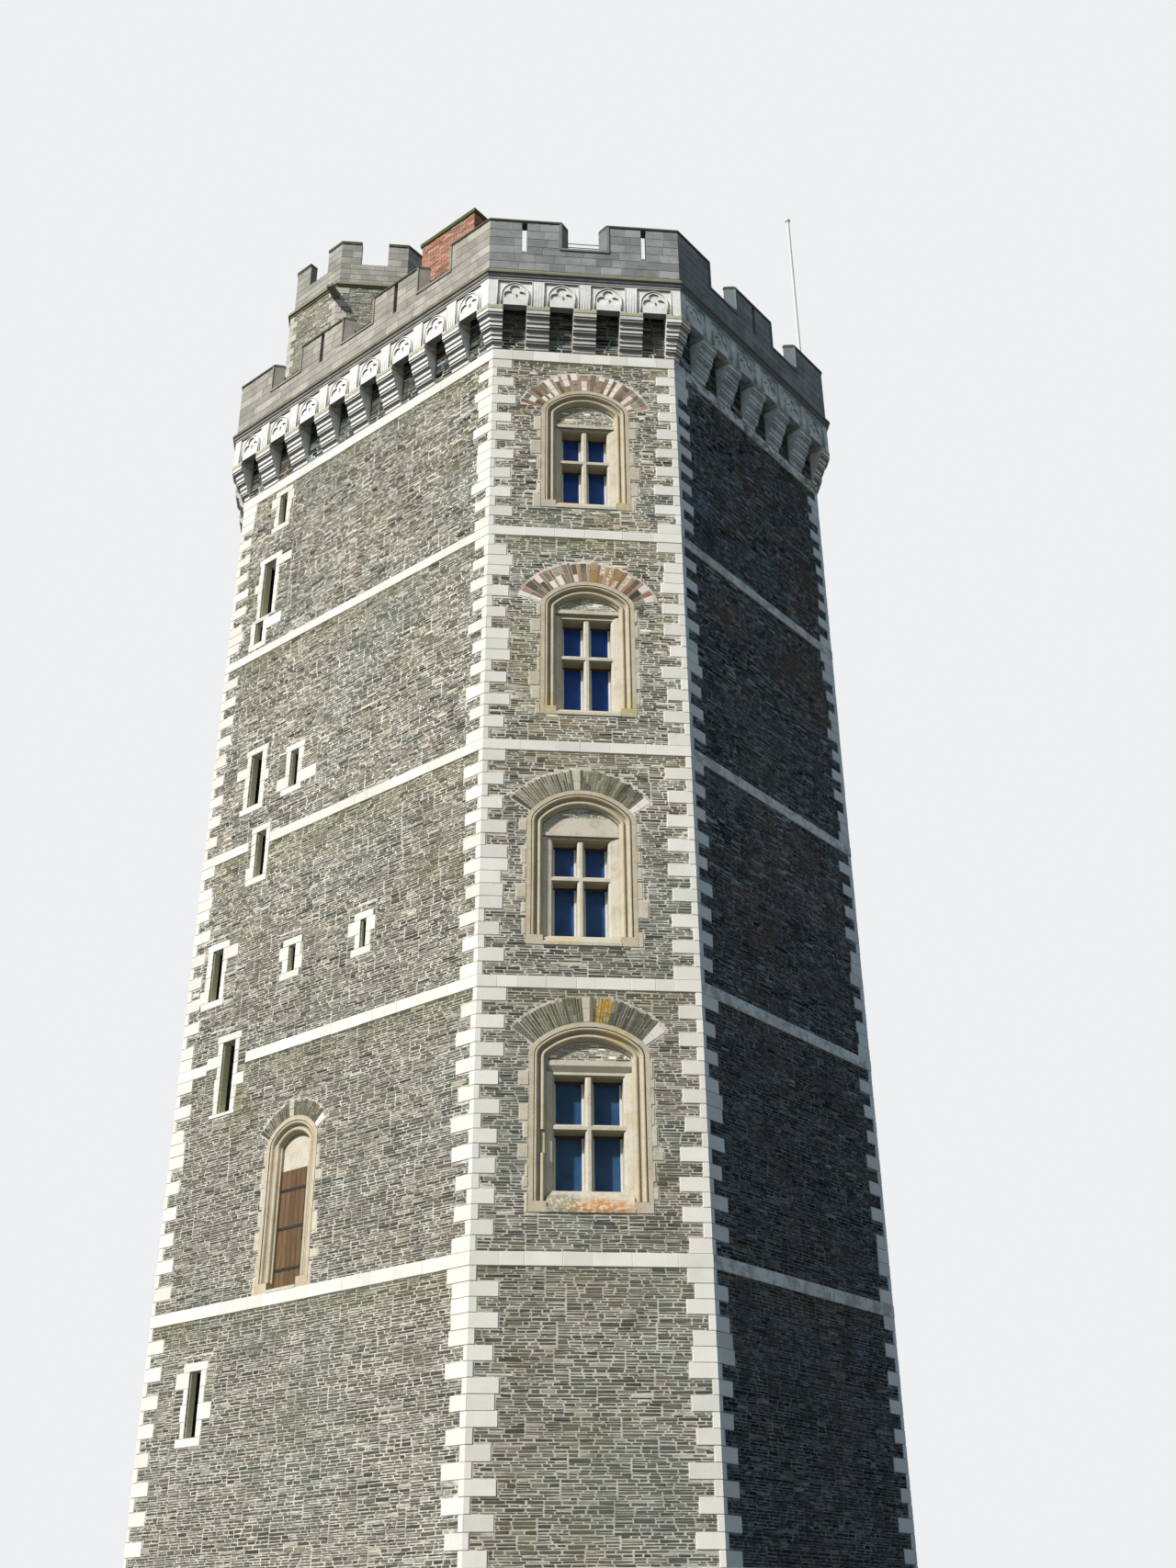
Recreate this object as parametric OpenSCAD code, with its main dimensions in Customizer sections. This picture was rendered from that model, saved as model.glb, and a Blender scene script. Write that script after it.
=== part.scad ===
// Castle keep: an eight-sided tower of five storeys, about 32 m to the parapet, with a
// machicolated crown, a stair turret and a chimney on its roof terrace. Millimetres, +Z up,
// origin on the ground at the middle of the plan. The front is the narrow side facing -Y.

/* [Plan] */
// Length of the four narrow sides: front, rear and the two flanks
narrow_len = 4540; // [4200:20:5200]
// Length of the two middle sides: right and rear left
middle_len = 6600; // [6000:20:7600]
// Length of the two broad sides: left and rear right
broad_len = 9490; // [8800:20:10600]
// Thickness of the tower walls
wall_t = 2200; // [1900:50:2400]

/* [Storeys] */
// Height of the ground storey, up to the top of its string course
storey_0 = 5610; // [5400:10:6000]
// Height of the first storey
storey_1 = 5490; // [5400:10:5900]
// Height of the second storey
storey_2 = 5500; // [5400:10:5900]
// Height of the third storey
storey_3 = 5770; // [5600:10:6000]
// Height of the fourth storey, up to the corbels
storey_4 = 5480; // [5400:10:5900]
// Height of a string course of white stone
band_h = 260; // [200:10:300]
// How far a string course stands out from the wall
band_out = 15; // [5:5:30]
// Thickness of the floors
floor_t = 300; // [200:20:400]

/* [Crown] */
// How far the corbels carry the parapet out from the wall
crown_out = 430; // [380:10:520]
// Height of one of the three tiers of a corbel
tier_h = 323; // [280:5:360]
// Width of a corbel
corbel_w = 580; // [480:10:640]
// Length of a corner corbel along each side at the wall
corner_w = 200; // [150:10:260]
// Height of the panelled course over the corbels
arcade_h = 900; // [800:20:960]
// Thickness of the panelled course
arcade_t = 200; // [160:10:230]
// Thickness of the parapet
parapet_t = 250; // [220:10:300]
// Height of the crenel sills over the terrace
sill_h = 970; // [800:10:1100]
// Height of the merlons over the crenel sills
merlon_h = 960; // [800:10:1100]
// Width of a crenel at the outer face
crenel_w = 1290; // [1000:10:1400]
// Width of a crenel at the inner face
crenel_in = 800; // [600:10:1000]
// Distance between crenels on the sides that have more than one
crenel_step = 2920; // [2700:10:3100]

/* [Windows] */
// Width of the moulded band round a window
mould_w = 350; // [300:10:380]
// Depth of a window from the wall face to the stone cross
reveal = 200; // [180:10:240]
// Width of a mullion
mullion_w = 146; // [120:2:170]

/* [Turret] */
// Length of one side of the turret parapet
turret_side = 2080; // [1900:20:2200]
// Height of the turret parapet's top over the ground
turret_top = 38640; // [37000:20:39400]
// Thickness of the turret wall
turret_t = 450; // [350:10:600]

/* [Chimney and flagpole] */
// Length of the brick chimney stack
chimney_l = 2010; // [1600:10:2400]
// Depth of the brick chimney stack
chimney_d = 820; // [700:10:1000]
// Top of the chimney over the ground
chimney_top = 34370; // [33500:10:35500]
// Radius of the flagpole
pole_r = 50; // [35:5:70]
// Top of the flagpole over the ground
pole_top = 38300; // [36000:50:38600]

/* [Hidden] */
$fn = 48;
half = tan(22.5);
lens = [narrow_len, middle_len, narrow_len, broad_len, narrow_len, middle_len, narrow_len, broad_len];
bays = [4, 6, 4, 8, 4, 6, 4, 8];
crenels = [1, 2, 1, 3, 1, 2, 1, 3];
FRONT = 0;
RIGHT = 1;
RIGHT_FLANK = 2;
REAR_RIGHT = 3;
REAR = 4;
REAR_LEFT = 5;
LEFT_FLANK = 6;
LEFT = 7;

// Levels
floor_1 = storey_0;
floor_2 = floor_1 + storey_1;
floor_3 = floor_2 + storey_2;
floor_4 = floor_3 + storey_3;
corbel_z = floor_4 + storey_4;
levels = [0, floor_1, floor_2, floor_3, floor_4, corbel_z];
top_band_h = band_h + 60;
corbel_top = corbel_z + 3 * tier_h;
arcade_z = corbel_top + 110;
cornice_z = arcade_z + arcade_h;
terrace = cornice_z + 230;
sill_z = terrace + sill_h;
parapet_top = sill_z + merlon_h;
coping_h = 110;

// Plan
function heading(i) = [cos(45 * i), sin(45 * i)];
function walk(i) = i == 0 ? [0, 0] : walk(i - 1) + lens[i - 1] * heading(i - 1);
middle = walk(4) / 2;
function corner(i) = walk(i) - middle;
function inward(i) = [-sin(45 * i), cos(45 * i)];
function inset(i, d) = corner(i) + half * d * heading(i) + d * inward(i);
function bay_step(i) = (lens[i] - 2 * corner_w + corbel_w) / bays[i];
function bay_gap(i) = bay_step(i) - corbel_w;
function bay_x(i, n) = corner_w + bay_gap(i) / 2 + n * bay_step(i);
function crenel_x(i, n) = lens[i] / 2 + (n - (crenels[i] - 1) / 2) * crenel_step;
function band_under(s) = levels[s] - (s == 5 ? top_band_h : band_h);

// Depth of the windows' glass from the wall face, and of the back of their stonework
glass_y = reveal + 350;
seat = reveal + 420;

// Windows of the front and the rear, from the top storey down:
// foot, glass from, transom, glass to, springing, rise, half width in the arch, half width of the
// glass, distance off the middle of the side, label's top over the glass, slab over the label
windows = [
    [23000, 23294, 24543, 25483, 25930, 370, 725, 550, 20, 205, 0],
    [17290, 17529, 18901, 19926, 20180, 350, 725, 556, 35, 265, 0],
    [11800, 12074, 13380, 14260, 14630, 420, 815, 585, -140, 200, 340],
    [6350, 6802, 8043, 9071, 9430, 365, 850, 685, -10, 330, 0],
];
// Doorway of the left side, at first floor level, in the same terms
door_x = 4200;
doorway = [floor_1, floor_1 + 60, 0, 8150, 8660, 240, 450, 430];

// Slits: left, right, from, to; then the dressed frame in the same terms
left_slits = [
    [1600, 1890, 26250, 27270, 1250, 2160, 25860, 27530],
    [1210, 1680, 23370, 25140, 900, 2310, 23315, 25410],
    [1090, 1390, 22590, 23260, 900, 2100, 22370, 23314],
    [1500, 1920, 17600, 19080, 990, 2230, 17210, 19430],
    [3030, 3310, 17650, 18660, 2580, 4000, 17210, 18880],
    [2010, 2360, 15540, 16750, 1720, 2500, 15360, 16950],
    [800, 1180, 12660, 13950, 470, 1730, 12350, 14260],
    [3570, 3800, 12710, 13350, 3250, 4060, 12350, 13670],
    [5930, 6110, 12650, 13320, 5540, 6400, 12290, 13650],
    [1540, 1970, 9820, 11500, 1010, 2380, 9740, 11830],
    [1540, 1910, 3000, 4300, 1100, 2350, 2750, 4600],
];
rear_slits = [for (s = [0:4]) [broad_len / 2 - 170, broad_len / 2 + 170,
    levels[s] + 2200, levels[s] + 3500, broad_len / 2 - 560, broad_len / 2 + 560,
    levels[s] + 1950, levels[s] + 3800]];

// Joints that part the masonry of the left side into plain blocks round its slits:
// upright ones as place, from, to, then level ones as height, from, to
left_upright = [
    [1099, 0, 5350], [2350, 0, 5350],
    [1009, 5610, 12300], [2380, 5610, 12300], [3397, 5610, 10840], [5002, 5610, 10840],
    [469, 12300, 15300], [1730, 12300, 15300], [1708, 15300, 17100], [2662, 11100, 17100],
    [3249, 11100, 16340], [4102, 11100, 16340], [5539, 11100, 16340], [6412, 11100, 16340],
    [989, 17100, 22110], [2230, 17100, 22110], [2579, 17100, 22110], [4000, 16600, 22110],
    [788, 22370, 27530], [2310, 22370, 27530],
];
left_level = [
    [3000, 1100, 2350], [4300, 1100, 2350], [9820, 1010, 2380], [5670, 3398, 5002], [8150, 3398, 5002],
    [11500, 1010, 2380], [12300, -50, 2662], [12660, 470, 1730], [13950, 470, 1730],
    [15300, -50, 2662], [15540, 1709, 2662], [12710, 3250, 4102], [13350, 3250, 4102],
    [12650, 5540, 6412], [13320, 5540, 6412], [16750, 1709, 2662], [17100, -50, 4000],
    [17600, 990, 2230], [19080, 990, 2230], [17650, 2580, 4000], [18660, 2580, 4000],
    [22590, 789, 2310], [23260, 789, 2310], [23370, 789, 2310], [25140, 789, 2310],
    [26250, 789, 2310], [27270, 789, 2310],
];

module on_side(i) {
    translate([corner(i).x, corner(i).y, 0])
        rotate([0, 0, 45 * i])
            children();
}

// A straight course along a side, mitred at both corners; depth runs inward from the wall face
module course(i, y0, y1, z0, z1, gap = 0) {
    translate([0, 0, z0])
        linear_extrude(z1 - z0)
            polygon([
                [y0 * half + gap, y0],
                [lens[i] - y0 * half - gap, y0],
                [lens[i] - y1 * half - gap, y1],
                [y1 * half + gap, y1],
            ]);
}

// A profile of depth and height, drawn along a side from x0 to x1
module along(x0, x1, outline) {
    translate([x0, 0, 0])
        rotate([90, 0, 90])
            linear_extrude(x1 - x0)
                polygon(outline);
}

module block(x0, x1, y0, y1, z0, z1) {
    translate([x0, y0, z0])
        cube([x1 - x0, y1 - y0, z1 - z0]);
}

// Joints 1 mm wide through a wall: upright and level
module upright(x, z0, z1) {
    block(x, x + 1, -60, wall_t + 60, z0, z1);
}

module level(z, x0, x1) {
    block(x0, x1, -60, wall_t + 60, z, z + 1);
}

// A plan outline of the octagon, d inside the wall face
module octagon(d, z0, z1) {
    translate([0, 0, z0])
        linear_extrude(z1 - z0)
            polygon([for (i = [0:7]) inset(i, d)]);
}

// Three-centred arch: the haunches' radius, the crown's drop below the springing and its radius
function haunch_r(w) = w[5] * 0.2;
function haunch_x(w) = w[6] - haunch_r(w);
function crown_drop(w) = (pow(haunch_x(w), 2) - pow(w[5] - haunch_r(w), 2)) / (2 * (w[5] - haunch_r(w)));
function crown_r(w) = w[5] + crown_drop(w);
function haunch_turn(w) = atan2(crown_drop(w), haunch_x(w));

module disc(r, x, z, y0, y1) {
    translate([x, y1, z])
        rotate([90, 0, 0])
            cylinder(h = y1 - y0, r = r, $fn = 96);
}

// Points of an arc, and the arched opening of a window grown by d all round, from depth y0 to y1
function arc(x, z, r, a0, a1, n) =
    [for (k = [0:n]) let (a = a0 + (a1 - a0) * k / n) [x + r * cos(a), z + r * sin(a)]];

module arched(w, d, y0, y1) {
    turn = haunch_turn(w);
    translate([0, y1, 0])
        rotate([90, 0, 0])
            linear_extrude(y1 - y0)
                polygon(concat(
                    [[-w[6] - d, w[0]], [w[6] + d, w[0]]],
                    arc(haunch_x(w), w[4], haunch_r(w) + d, 0, turn, 10),
                    arc(0, w[4] - crown_drop(w), crown_r(w) + d, turn + 4, 176 - turn, 10),
                    arc(-haunch_x(w), w[4], haunch_r(w) + d, 180 - turn, 180, 10)
                ));
}

// Profile of the moulded band: distance out from the opening, and depth from the wall face
function bow(x, y, r, a0, a1) = [for (k = [0:5]) let (a = a0 + (a1 - a0) * k / 5) [x + r * cos(a), y + r * sin(a)]];
mould = concat(
    [[mould_w, seat], [mould_w, -12], [mould_w - 95, -12], [mould_w - 99, 22]],
    bow(mould_w - 137, 26, 36, 0, -180),
    bow(mould_w - 230, 24, 56, 8, 92),
    bow(75, 80, 42, 0, -180),
    [[26, 112], [0, 132], [0, seat]]
);

// An arch stone, with half a 1 mm joint left at each end
module mould_arc(r, a0, a1) {
    joint = asin(0.5 / r);
    rotate([90, 0, 0])
        rotate([0, 0, a0 + joint])
            rotate_extrude(angle = a1 - a0 - 2 * joint, $fn = 240)
                polygon([for (p = mould) [p[0] + r, -p[1]]]);
}

module surround(w) {
    turn = haunch_turn(w);
    for (side = [-1, 1]) {
        translate([side * w[6], 0, w[0] + 211])
            linear_extrude(w[4] - w[0] - 212)
                polygon([for (p = mould) [side * p[0], p[1]]]);
        block(side > 0 ? w[6] : -w[6] - mould_w, side > 0 ? w[6] + mould_w : -w[6],
            -15, seat, w[0], w[0] + 210);
    }
    translate([haunch_x(w), 0, w[4]])
        mould_arc(haunch_r(w), 0, turn);
    translate([-haunch_x(w), 0, w[4]])
        mould_arc(haunch_r(w), 180 - turn, 180);
    translate([0, 0, w[4] - crown_drop(w)])
        mould_arc(crown_r(w), turn, 180 - turn);
}

// Where the inner roll of the lowest front window is broken off its left jamb
module lost_roll(w) {
    block(-w[6] - 122, -w[6] - 24, 20, 95, w[0] + 1150, w[0] + 1610);
}

// Plan of the space between the two splayed jambs of a window
function between(w, gap) = let (a = w[6] - gap, b = w[7] + 40 - gap, c = w[7] - gap) [
    [-a, -60], [a, -60], [a, 150], [b, reveal], [c, reveal + 35], [c, seat],
    [-c, seat], [-c, reveal + 35], [-b, reveal], [-a, 150],
];

module jambs(w) {
    for (side = [-1, 1])
        translate([0, 0, w[0]])
            linear_extrude(w[3] + 94 - w[0])
                polygon([
                    [side * w[6], 150], [side * w[6], seat], [side * w[7], seat],
                    [side * w[7], reveal + 35], [side * (w[7] + 40), reveal],
                ]);
}

// The lintel between the jambs, its drip label over them, and the slab over the label
module lintel(w) {
    top = w[3] + w[9];
    intersection() {
        along(-w[6], w[6], [
            [reveal, w[3] + 95], [reveal, w[3] + 40], [reveal + 35, w[3]], [seat, w[3]], [seat, w[3] + 95],
        ]);
        linear_extrude(w[3] + 100)
            polygon(between(w, 1));
    }
    along(-w[6], w[6], [
        [seat, w[3] + 95], [reveal, w[3] + 95], [reveal - 65, max(top - 115, w[3] + 105)],
        [reveal - 65, top - 15], [reveal - 40, top], [seat, top],
    ]);
    if (w[10] > 0)
        intersection() {
            arched(w, 0, reveal - 15, seat);
            block(-w[6], w[6], 0, seat, top - 5, top + w[10] - 1);
        }
}

module sill(w) {
    intersection() {
        along(-w[6], w[6], [
            [-25, w[0]], [-25, w[0] + 70], [reveal - 10, w[1]], [seat, w[1]], [seat, w[0]],
        ]);
        linear_extrude(w[1] + 100)
            polygon(between(w, 1));
    }
}

module bar(len) {
    a = mullion_w / 2;
    linear_extrude(len)
        polygon([
            [40 - a, reveal], [a - 40, reveal], [a, reveal + 35], [a, glass_y - 10],
            [-a, glass_y - 10], [-a, reveal + 35],
        ]);
}

// Mullion and transom
module cross(w) {
    intersection() {
        union() {
            translate([0, 0, w[1] + 1])
                bar(w[3] - w[1] - 2);
            translate([-w[7] - 80, 0, w[2]])
                rotate([0, 90, 0])
                    bar(2 * w[7] + 160);
        }
        linear_extrude(w[3] + 100)
            polygon(between(w, 1));
    }
}

module stone_cross(w) {
    jambs(w);
    sill(w);
    lintel(w);
    cross(w);
}

module tympanum(w) {
    difference() {
        arched(w, 0, reveal - 10, seat);
        block(-w[6] - 1, w[6] + 1, 0, seat + 10, w[0] - 1, w[3] + w[9] + w[10]);
    }
}

module glass_sheet(w) {
    block(-w[7], w[7], glass_y, glass_y + 15, w[1], w[3]);
}

// What a window takes out of the wall: its seat, and the splayed embrasure behind it
module window_void(w) {
    arched(w, mould_w + 2, -100, seat);
    translate([0, 0, w[1]])
        linear_extrude(w[3] - w[1])
            polygon([
                [-w[7], seat - 90], [w[7], seat - 90],
                [w[7] + 300, wall_t + 50], [-w[7] - 300, wall_t + 50],
            ]);
}

module at_window(i, w) {
    translate([lens[i] / 2 + w[8], 0, 0])
        children();
}

module slit_void(s) {
    block(s[4], s[5], -100, 350, s[6], s[7]);
    translate([0, 0, s[2]])
        linear_extrude(s[3] - s[2])
            polygon([[s[0], 300], [s[1], 300], [s[1] + 300, wall_t + 50], [s[0] - 300, wall_t + 50]]);
}

module slit_frame(s) {
    difference() {
        block(s[4], s[5], -12, 350, s[6], s[7]);
        block(s[0], s[1], -50, 400, s[2], s[3]);
        along(s[0], s[1], [[-50, s[2] - 60], [40, s[2]], [40, s[3]], [-50, s[3] + 60]]);
        for (z = [s[2] - 1, s[3]])
            level(z, s[4] - 1, s[5] + 1);
    }
}

module voids(i) {
    if (i == FRONT || i == REAR)
        for (k = [0:3])
            at_window(i, windows[k]) {
                window_void(windows[k]);
                window_joints(windows[k], 4 - k);
            }
    if (i == LEFT) {
        translate([door_x, 0, 0])
            window_void(doorway);
        for (s = left_slits)
            slit_void(s);
        for (j = left_upright)
            upright(j[0], j[1] - 5, j[2] + 5);
        for (j = left_level)
            level(j[0], j[1], j[2]);
    }
    if (i == REAR_RIGHT)
        for (k = [0:4]) {
            s = rear_slits[k];
            slit_void(s);
            upright(s[4] - 1, levels[k] - 5, band_under(k + 1) + 5);
            upright(s[5], levels[k] - 5, band_under(k + 1) + 5);
            level(s[2], s[4], s[5]);
            level(s[3], s[4], s[5]);
        }
}

// Joints beside, under and over a window in storey s
module window_joints(w, s) {
    edge = w[6] + mould_w + 2;
    upright(-edge - 1, levels[s] - 5, band_under(s + 1) + 5);
    upright(edge, levels[s] - 5, band_under(s + 1) + 5);
    level(w[1], -edge, edge);
    level(w[3], -edge, edge);
}

// One side of the tower: a panel of rubble masonry a storey, between the string courses
module wall(i) {
    color("slategray")
        on_side(i) {
            for (s = [0:4])
                difference() {
                    course(i, 0, wall_t, levels[s], band_under(s + 1));
                    voids(i);
                }
            course(i, 0, wall_t, corbel_z, terrace);
        }
}

module string_courses() {
    color("ivory")
        for (i = [0:7], s = [1:5])
            on_side(i)
                difference() {
                    course(i, -band_out, wall_t, band_under(s), levels[s], 1);
                    if (i == LEFT)
                        for (k = left_slits)
                            slit_void(k);
                }
}

module ground_floor() {
    color("gray") octagon(wall_t, 0, 150);
}

module upper_floors() {
    color("burlywood")
        for (s = [1:4])
            octagon(wall_t, levels[s] - floor_t, levels[s]);
}

module roof_terrace() {
    color("darkgray") octagon(wall_t, terrace - floor_t, terrace);
}

module window_surrounds() {
    color("ivory")
        for (i = [FRONT, REAR], w = windows)
            on_side(i)
                at_window(i, w)
                    difference() {
                        surround(w);
                        if (i == FRONT && w == windows[3])
                            lost_roll(w);
                    }
}

module window_crosses() {
    color("antiquewhite")
        for (i = [FRONT, REAR], w = windows)
            on_side(i) at_window(i, w) stone_cross(w);
}

module window_tympana() {
    color("dimgray")
        for (i = [FRONT, REAR], w = windows)
            on_side(i) at_window(i, w) tympanum(w);
}

module window_glass() {
    color("midnightblue")
        for (i = [FRONT, REAR], w = windows)
            on_side(i) at_window(i, w) glass_sheet(w);
}

module left_slit_frames() {
    color("ivory") on_side(LEFT) for (s = left_slits) slit_frame(s);
}

module rear_slit_frames() {
    color("ivory") on_side(REAR_RIGHT) for (s = rear_slits) slit_frame(s);
}

module doorway_surround() {
    color("ivory")
        on_side(LEFT)
            translate([door_x, 0, 0])
                surround(doorway);
}

module doorway_lintel() {
    w = doorway;
    color("antiquewhite")
        on_side(LEFT)
            translate([door_x, 0, 0]) {
                difference() {
                    arched(w, 0, reveal - 10, seat);
                    block(-w[6] - 1, w[6] + 1, 0, seat + 10, w[0] - 1, w[3]);
                }
                block(-w[6], w[6], -25, seat, w[0], w[1]);
            }
}

module doorway_door() {
    w = doorway;
    color("saddlebrown")
        on_side(LEFT)
            translate([door_x, 0, 0])
                block(-w[6], w[6], reveal, reveal + 70, w[1], w[3]);
}

// Outline of a corbel: in each tier a bead, a hollow, a round and a flat face, then the block
// behind the panelled course up to the terrace
function tier(k) = let (z = corbel_z + k * tier_h, y = -k * crown_out / 3, step = crown_out / 3)
    concat(
        [[y, z]],
        [for (a = [-60:60:60]) [y - 22 - 20 * cos(a), z + 34 + 26 * sin(a)]],
        [for (a = [0:30:90]) [y - 30 - 62 * (1 - cos(a)), z + 64 + 92 * sin(a)]],
        [[y - 112, z + 168], [y - 119, z + 190], [y - 114, z + 210], [y - 104, z + 216]],
        [[y - step, z + 222], [y - step, z + tier_h]]
    );
corbel = concat(
    tier(0), tier(1), tier(2),
    [[-crown_out - 12, corbel_top + 20], [-crown_out - 12, arcade_z], [arcade_t - crown_out, arcade_z],
        [arcade_t - crown_out, terrace], [0, terrace]]
);

module corbels(i) {
    color("ivory")
        on_side(i)
            for (n = [0:bays[i] - 2])
                along(bay_x(i, n) + bay_gap(i) / 2, bay_x(i, n + 1) - bay_gap(i) / 2, corbel);
}

module rear_corbels() {
    for (i = [RIGHT_FLANK:LEFT_FLANK])
        corbels(i);
}

// A corner corbel, of two halves with a mitred joint
module corner_corbel(i) {
    before = (i + 7) % 8;
    on_side(i)
        intersection() {
            along(-600, corner_w, corbel);
            course(i, -600, 5, corbel_z - 10, terrace + 10, 0.5);
        }
    on_side(before)
        intersection() {
            along(lens[before] - corner_w, lens[before] + 600, corbel);
            course(before, -600, 5, corbel_z - 10, terrace + 10, 0.5);
        }
}

module corner_corbels() {
    color("ivory") for (i = [0:7]) corner_corbel(i);
}

// One blind panel: a square field with a pointed arch, and a sunk trefoil in it
module panel_cut(face) {
    low = arcade_z + 40;
    high = arcade_z + arcade_h - 50;
    spring = arcade_z + 400;
    w = 430;
    difference() {
        block(-w, w, face - 10, face + 40, low, high);
        block(-w + 60, w - 60, face + 12, face + 60, low - 10, spring);
        intersection() {
            disc(w, 60, spring, face + 12, face + 60);
            disc(w, -60, spring, face + 12, face + 60);
        }
    }
    disc(135, 0, spring + 190, face - 10, face + 50);
    for (side = [-1, 1])
        disc(135, side * 150, spring - 20, face - 10, face + 50);
}

module arcade(i) {
    face = -crown_out;
    color("ivory")
        on_side(i)
            difference() {
                course(i, face, face + arcade_t, arcade_z, cornice_z);
                for (n = [0:bays[i] - 1])
                    translate([bay_x(i, n), 0, 0]) {
                        panel_cut(face);
                        along(-bay_gap(i) / 2, bay_gap(i) / 2, [
                            [face - 50, arcade_z - 20], [face - 50, arcade_z + 60],
                            [face + arcade_t + 50, arcade_z + 60], [face + arcade_t + 50, arcade_z - 20],
                        ]);
                    }
            }
}

module narrow_side_arcades() {
    for (i = [RIGHT_FLANK, REAR, LEFT_FLANK])
        arcade(i);
}

module rear_side_arcades() {
    for (i = [REAR_RIGHT, REAR_LEFT])
        arcade(i);
}

// Section of the parapet: fillets, drip and weathering of the cornice, then the plain wall
parapet_section = [
    [parapet_t - crown_out, cornice_z],
    [-crown_out - 20, cornice_z],
    [-crown_out - 20, cornice_z + 55],
    [-crown_out - 45, cornice_z + 75],
    [-crown_out - 60, cornice_z + 110],
    [-crown_out - 60, cornice_z + 130],
    [-crown_out - 100, cornice_z + 160],
    [-crown_out - 100, cornice_z + 215],
    [-crown_out + 10, cornice_z + 370],
    [-crown_out + 10, parapet_top - coping_h],
    [-crown_out - 25, parapet_top - coping_h + 20],
    [-crown_out - 25, parapet_top - 40],
    [-crown_out + 30, parapet_top],
    [parapet_t - crown_out - 30, parapet_top],
    [parapet_t - crown_out + 20, parapet_top - 50],
    [parapet_t - crown_out + 20, parapet_top - coping_h],
    [parapet_t - crown_out, parapet_top - coping_h],
];

// A crenel: splayed from the outer to the inner face
module crenel_cut(z) {
    translate([0, 0, z])
        linear_extrude(2 * merlon_h)
            polygon([
                [-crenel_w / 2 + 60, -crown_out - 200],
                [-crenel_w / 2 + 60, -crown_out + 10],
                [-crenel_in / 2, parapet_t - crown_out],
                [-crenel_in / 2, 0],
                [crenel_in / 2, 0],
                [crenel_in / 2, parapet_t - crown_out],
                [crenel_w / 2 - 60, -crown_out + 10],
                [crenel_w / 2 - 60, -crown_out - 200],
            ]);
}

// The moulded edge that runs down the sides and along the sill of a crenel
module crenel_edge() {
    out = -crown_out - 25;
    for (side = [-1, 1])
        block(side > 0 ? crenel_w / 2 - 60 : -crenel_w / 2, side > 0 ? crenel_w / 2 : -crenel_w / 2 + 60,
            out, -crown_out + 20, sill_z - 70, parapet_top - coping_h + 30);
    block(-crenel_w / 2, crenel_w / 2, out, -crown_out + 20, sill_z - 70, sill_z);
}

function has_slit(i, n) = lens[i] < 5000 || (n > 0 && n < crenels[i]);

module parapet(i) {
    color("darkkhaki")
        on_side(i)
            difference() {
                union() {
                    intersection() {
                        along(-1000, lens[i] + 1000, parapet_section);
                        course(i, -900, 300, cornice_z - 10, parapet_top + 10);
                    }
                    for (n = [0:crenels[i] - 1])
                        translate([crenel_x(i, n), 0, 0])
                            crenel_edge();
                }
                for (n = [0:crenels[i] - 1])
                    translate([crenel_x(i, n), 0, 0])
                        crenel_cut(sill_z);
                block(-1000, lens[i] + 1000, -crown_out - 200, 200, sill_z, sill_z + 1);
                for (n = [0:crenels[i]])
                    if (has_slit(i, n))
                        translate([merlon_mid(i, n), 0, 0]) {
                            block(-65, 65, -crown_out - 5, 0, sill_z - 170, parapet_top - coping_h - 5);
                            block(0, 1, -crown_out - 200, 200, parapet_top - coping_h - 10, parapet_top + 10);
                        }
            }
}

function merlon_edge(i, n) = n < 0 ? -crown_out * half
    : n >= crenels[i] ? lens[i] + crown_out * half : crenel_x(i, n);
function merlon_mid(i, n) = (merlon_edge(i, n - 1) + merlon_edge(i, n)) / 2
    + (n == 0 ? -crenel_w / 4 : n == crenels[i] ? crenel_w / 4 : 0);

module narrow_side_parapets() {
    for (i = [RIGHT_FLANK, REAR, LEFT_FLANK])
        parapet(i);
}

module rear_side_parapets() {
    for (i = [REAR_RIGHT, REAR_LEFT])
        parapet(i);
}

// Iron rails across a crenel, on the terrace side
module rail(w, y, z) {
    for (side = [-1, 1])
        translate([side * (w / 2 + 60), y, z - 250])
            cylinder(h = 850, r = 18, $fn = 6);
    for (n = [1:4])
        translate([-w / 2 - 60, y, z + 130 * n])
            rotate([0, 90, 0])
                cylinder(h = w + 120, r = 11, $fn = 6);
}

module guard_rails() {
    color("darkslategray") {
        for (i = [0:7], n = [0:crenels[i] - 1])
            on_side(i)
                translate([crenel_x(i, n), 0, 0])
                    rail(crenel_in, parapet_t - crown_out + 60, sill_z);
    }
}

turret_at = [inset(LEFT_FLANK, 0).x + 3083, inset(FRONT, 0).y + 9561];
turret_ap = turret_side * (1 + sqrt(2)) / 2;
turret_cord = turret_top - 2040;
turret_sill = turret_top - 940;

module prism8(ap, z0, z1) {
    translate([turret_at.x, turret_at.y, z0])
        rotate([0, 0, 22.5])
            cylinder(h = z1 - z0, r = ap / cos(22.5), $fn = 8);
}

// Joints 1 mm wide at the eight corners of the turret
module turret_joints(z0, z1) {
    for (k = [0:7])
        translate([turret_at.x, turret_at.y, z0])
            rotate([0, 0, 22.5 + 45 * k])
                translate([0, -0.5, 0])
                    cube([4000, 1, z1 - z0]);
}

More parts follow.
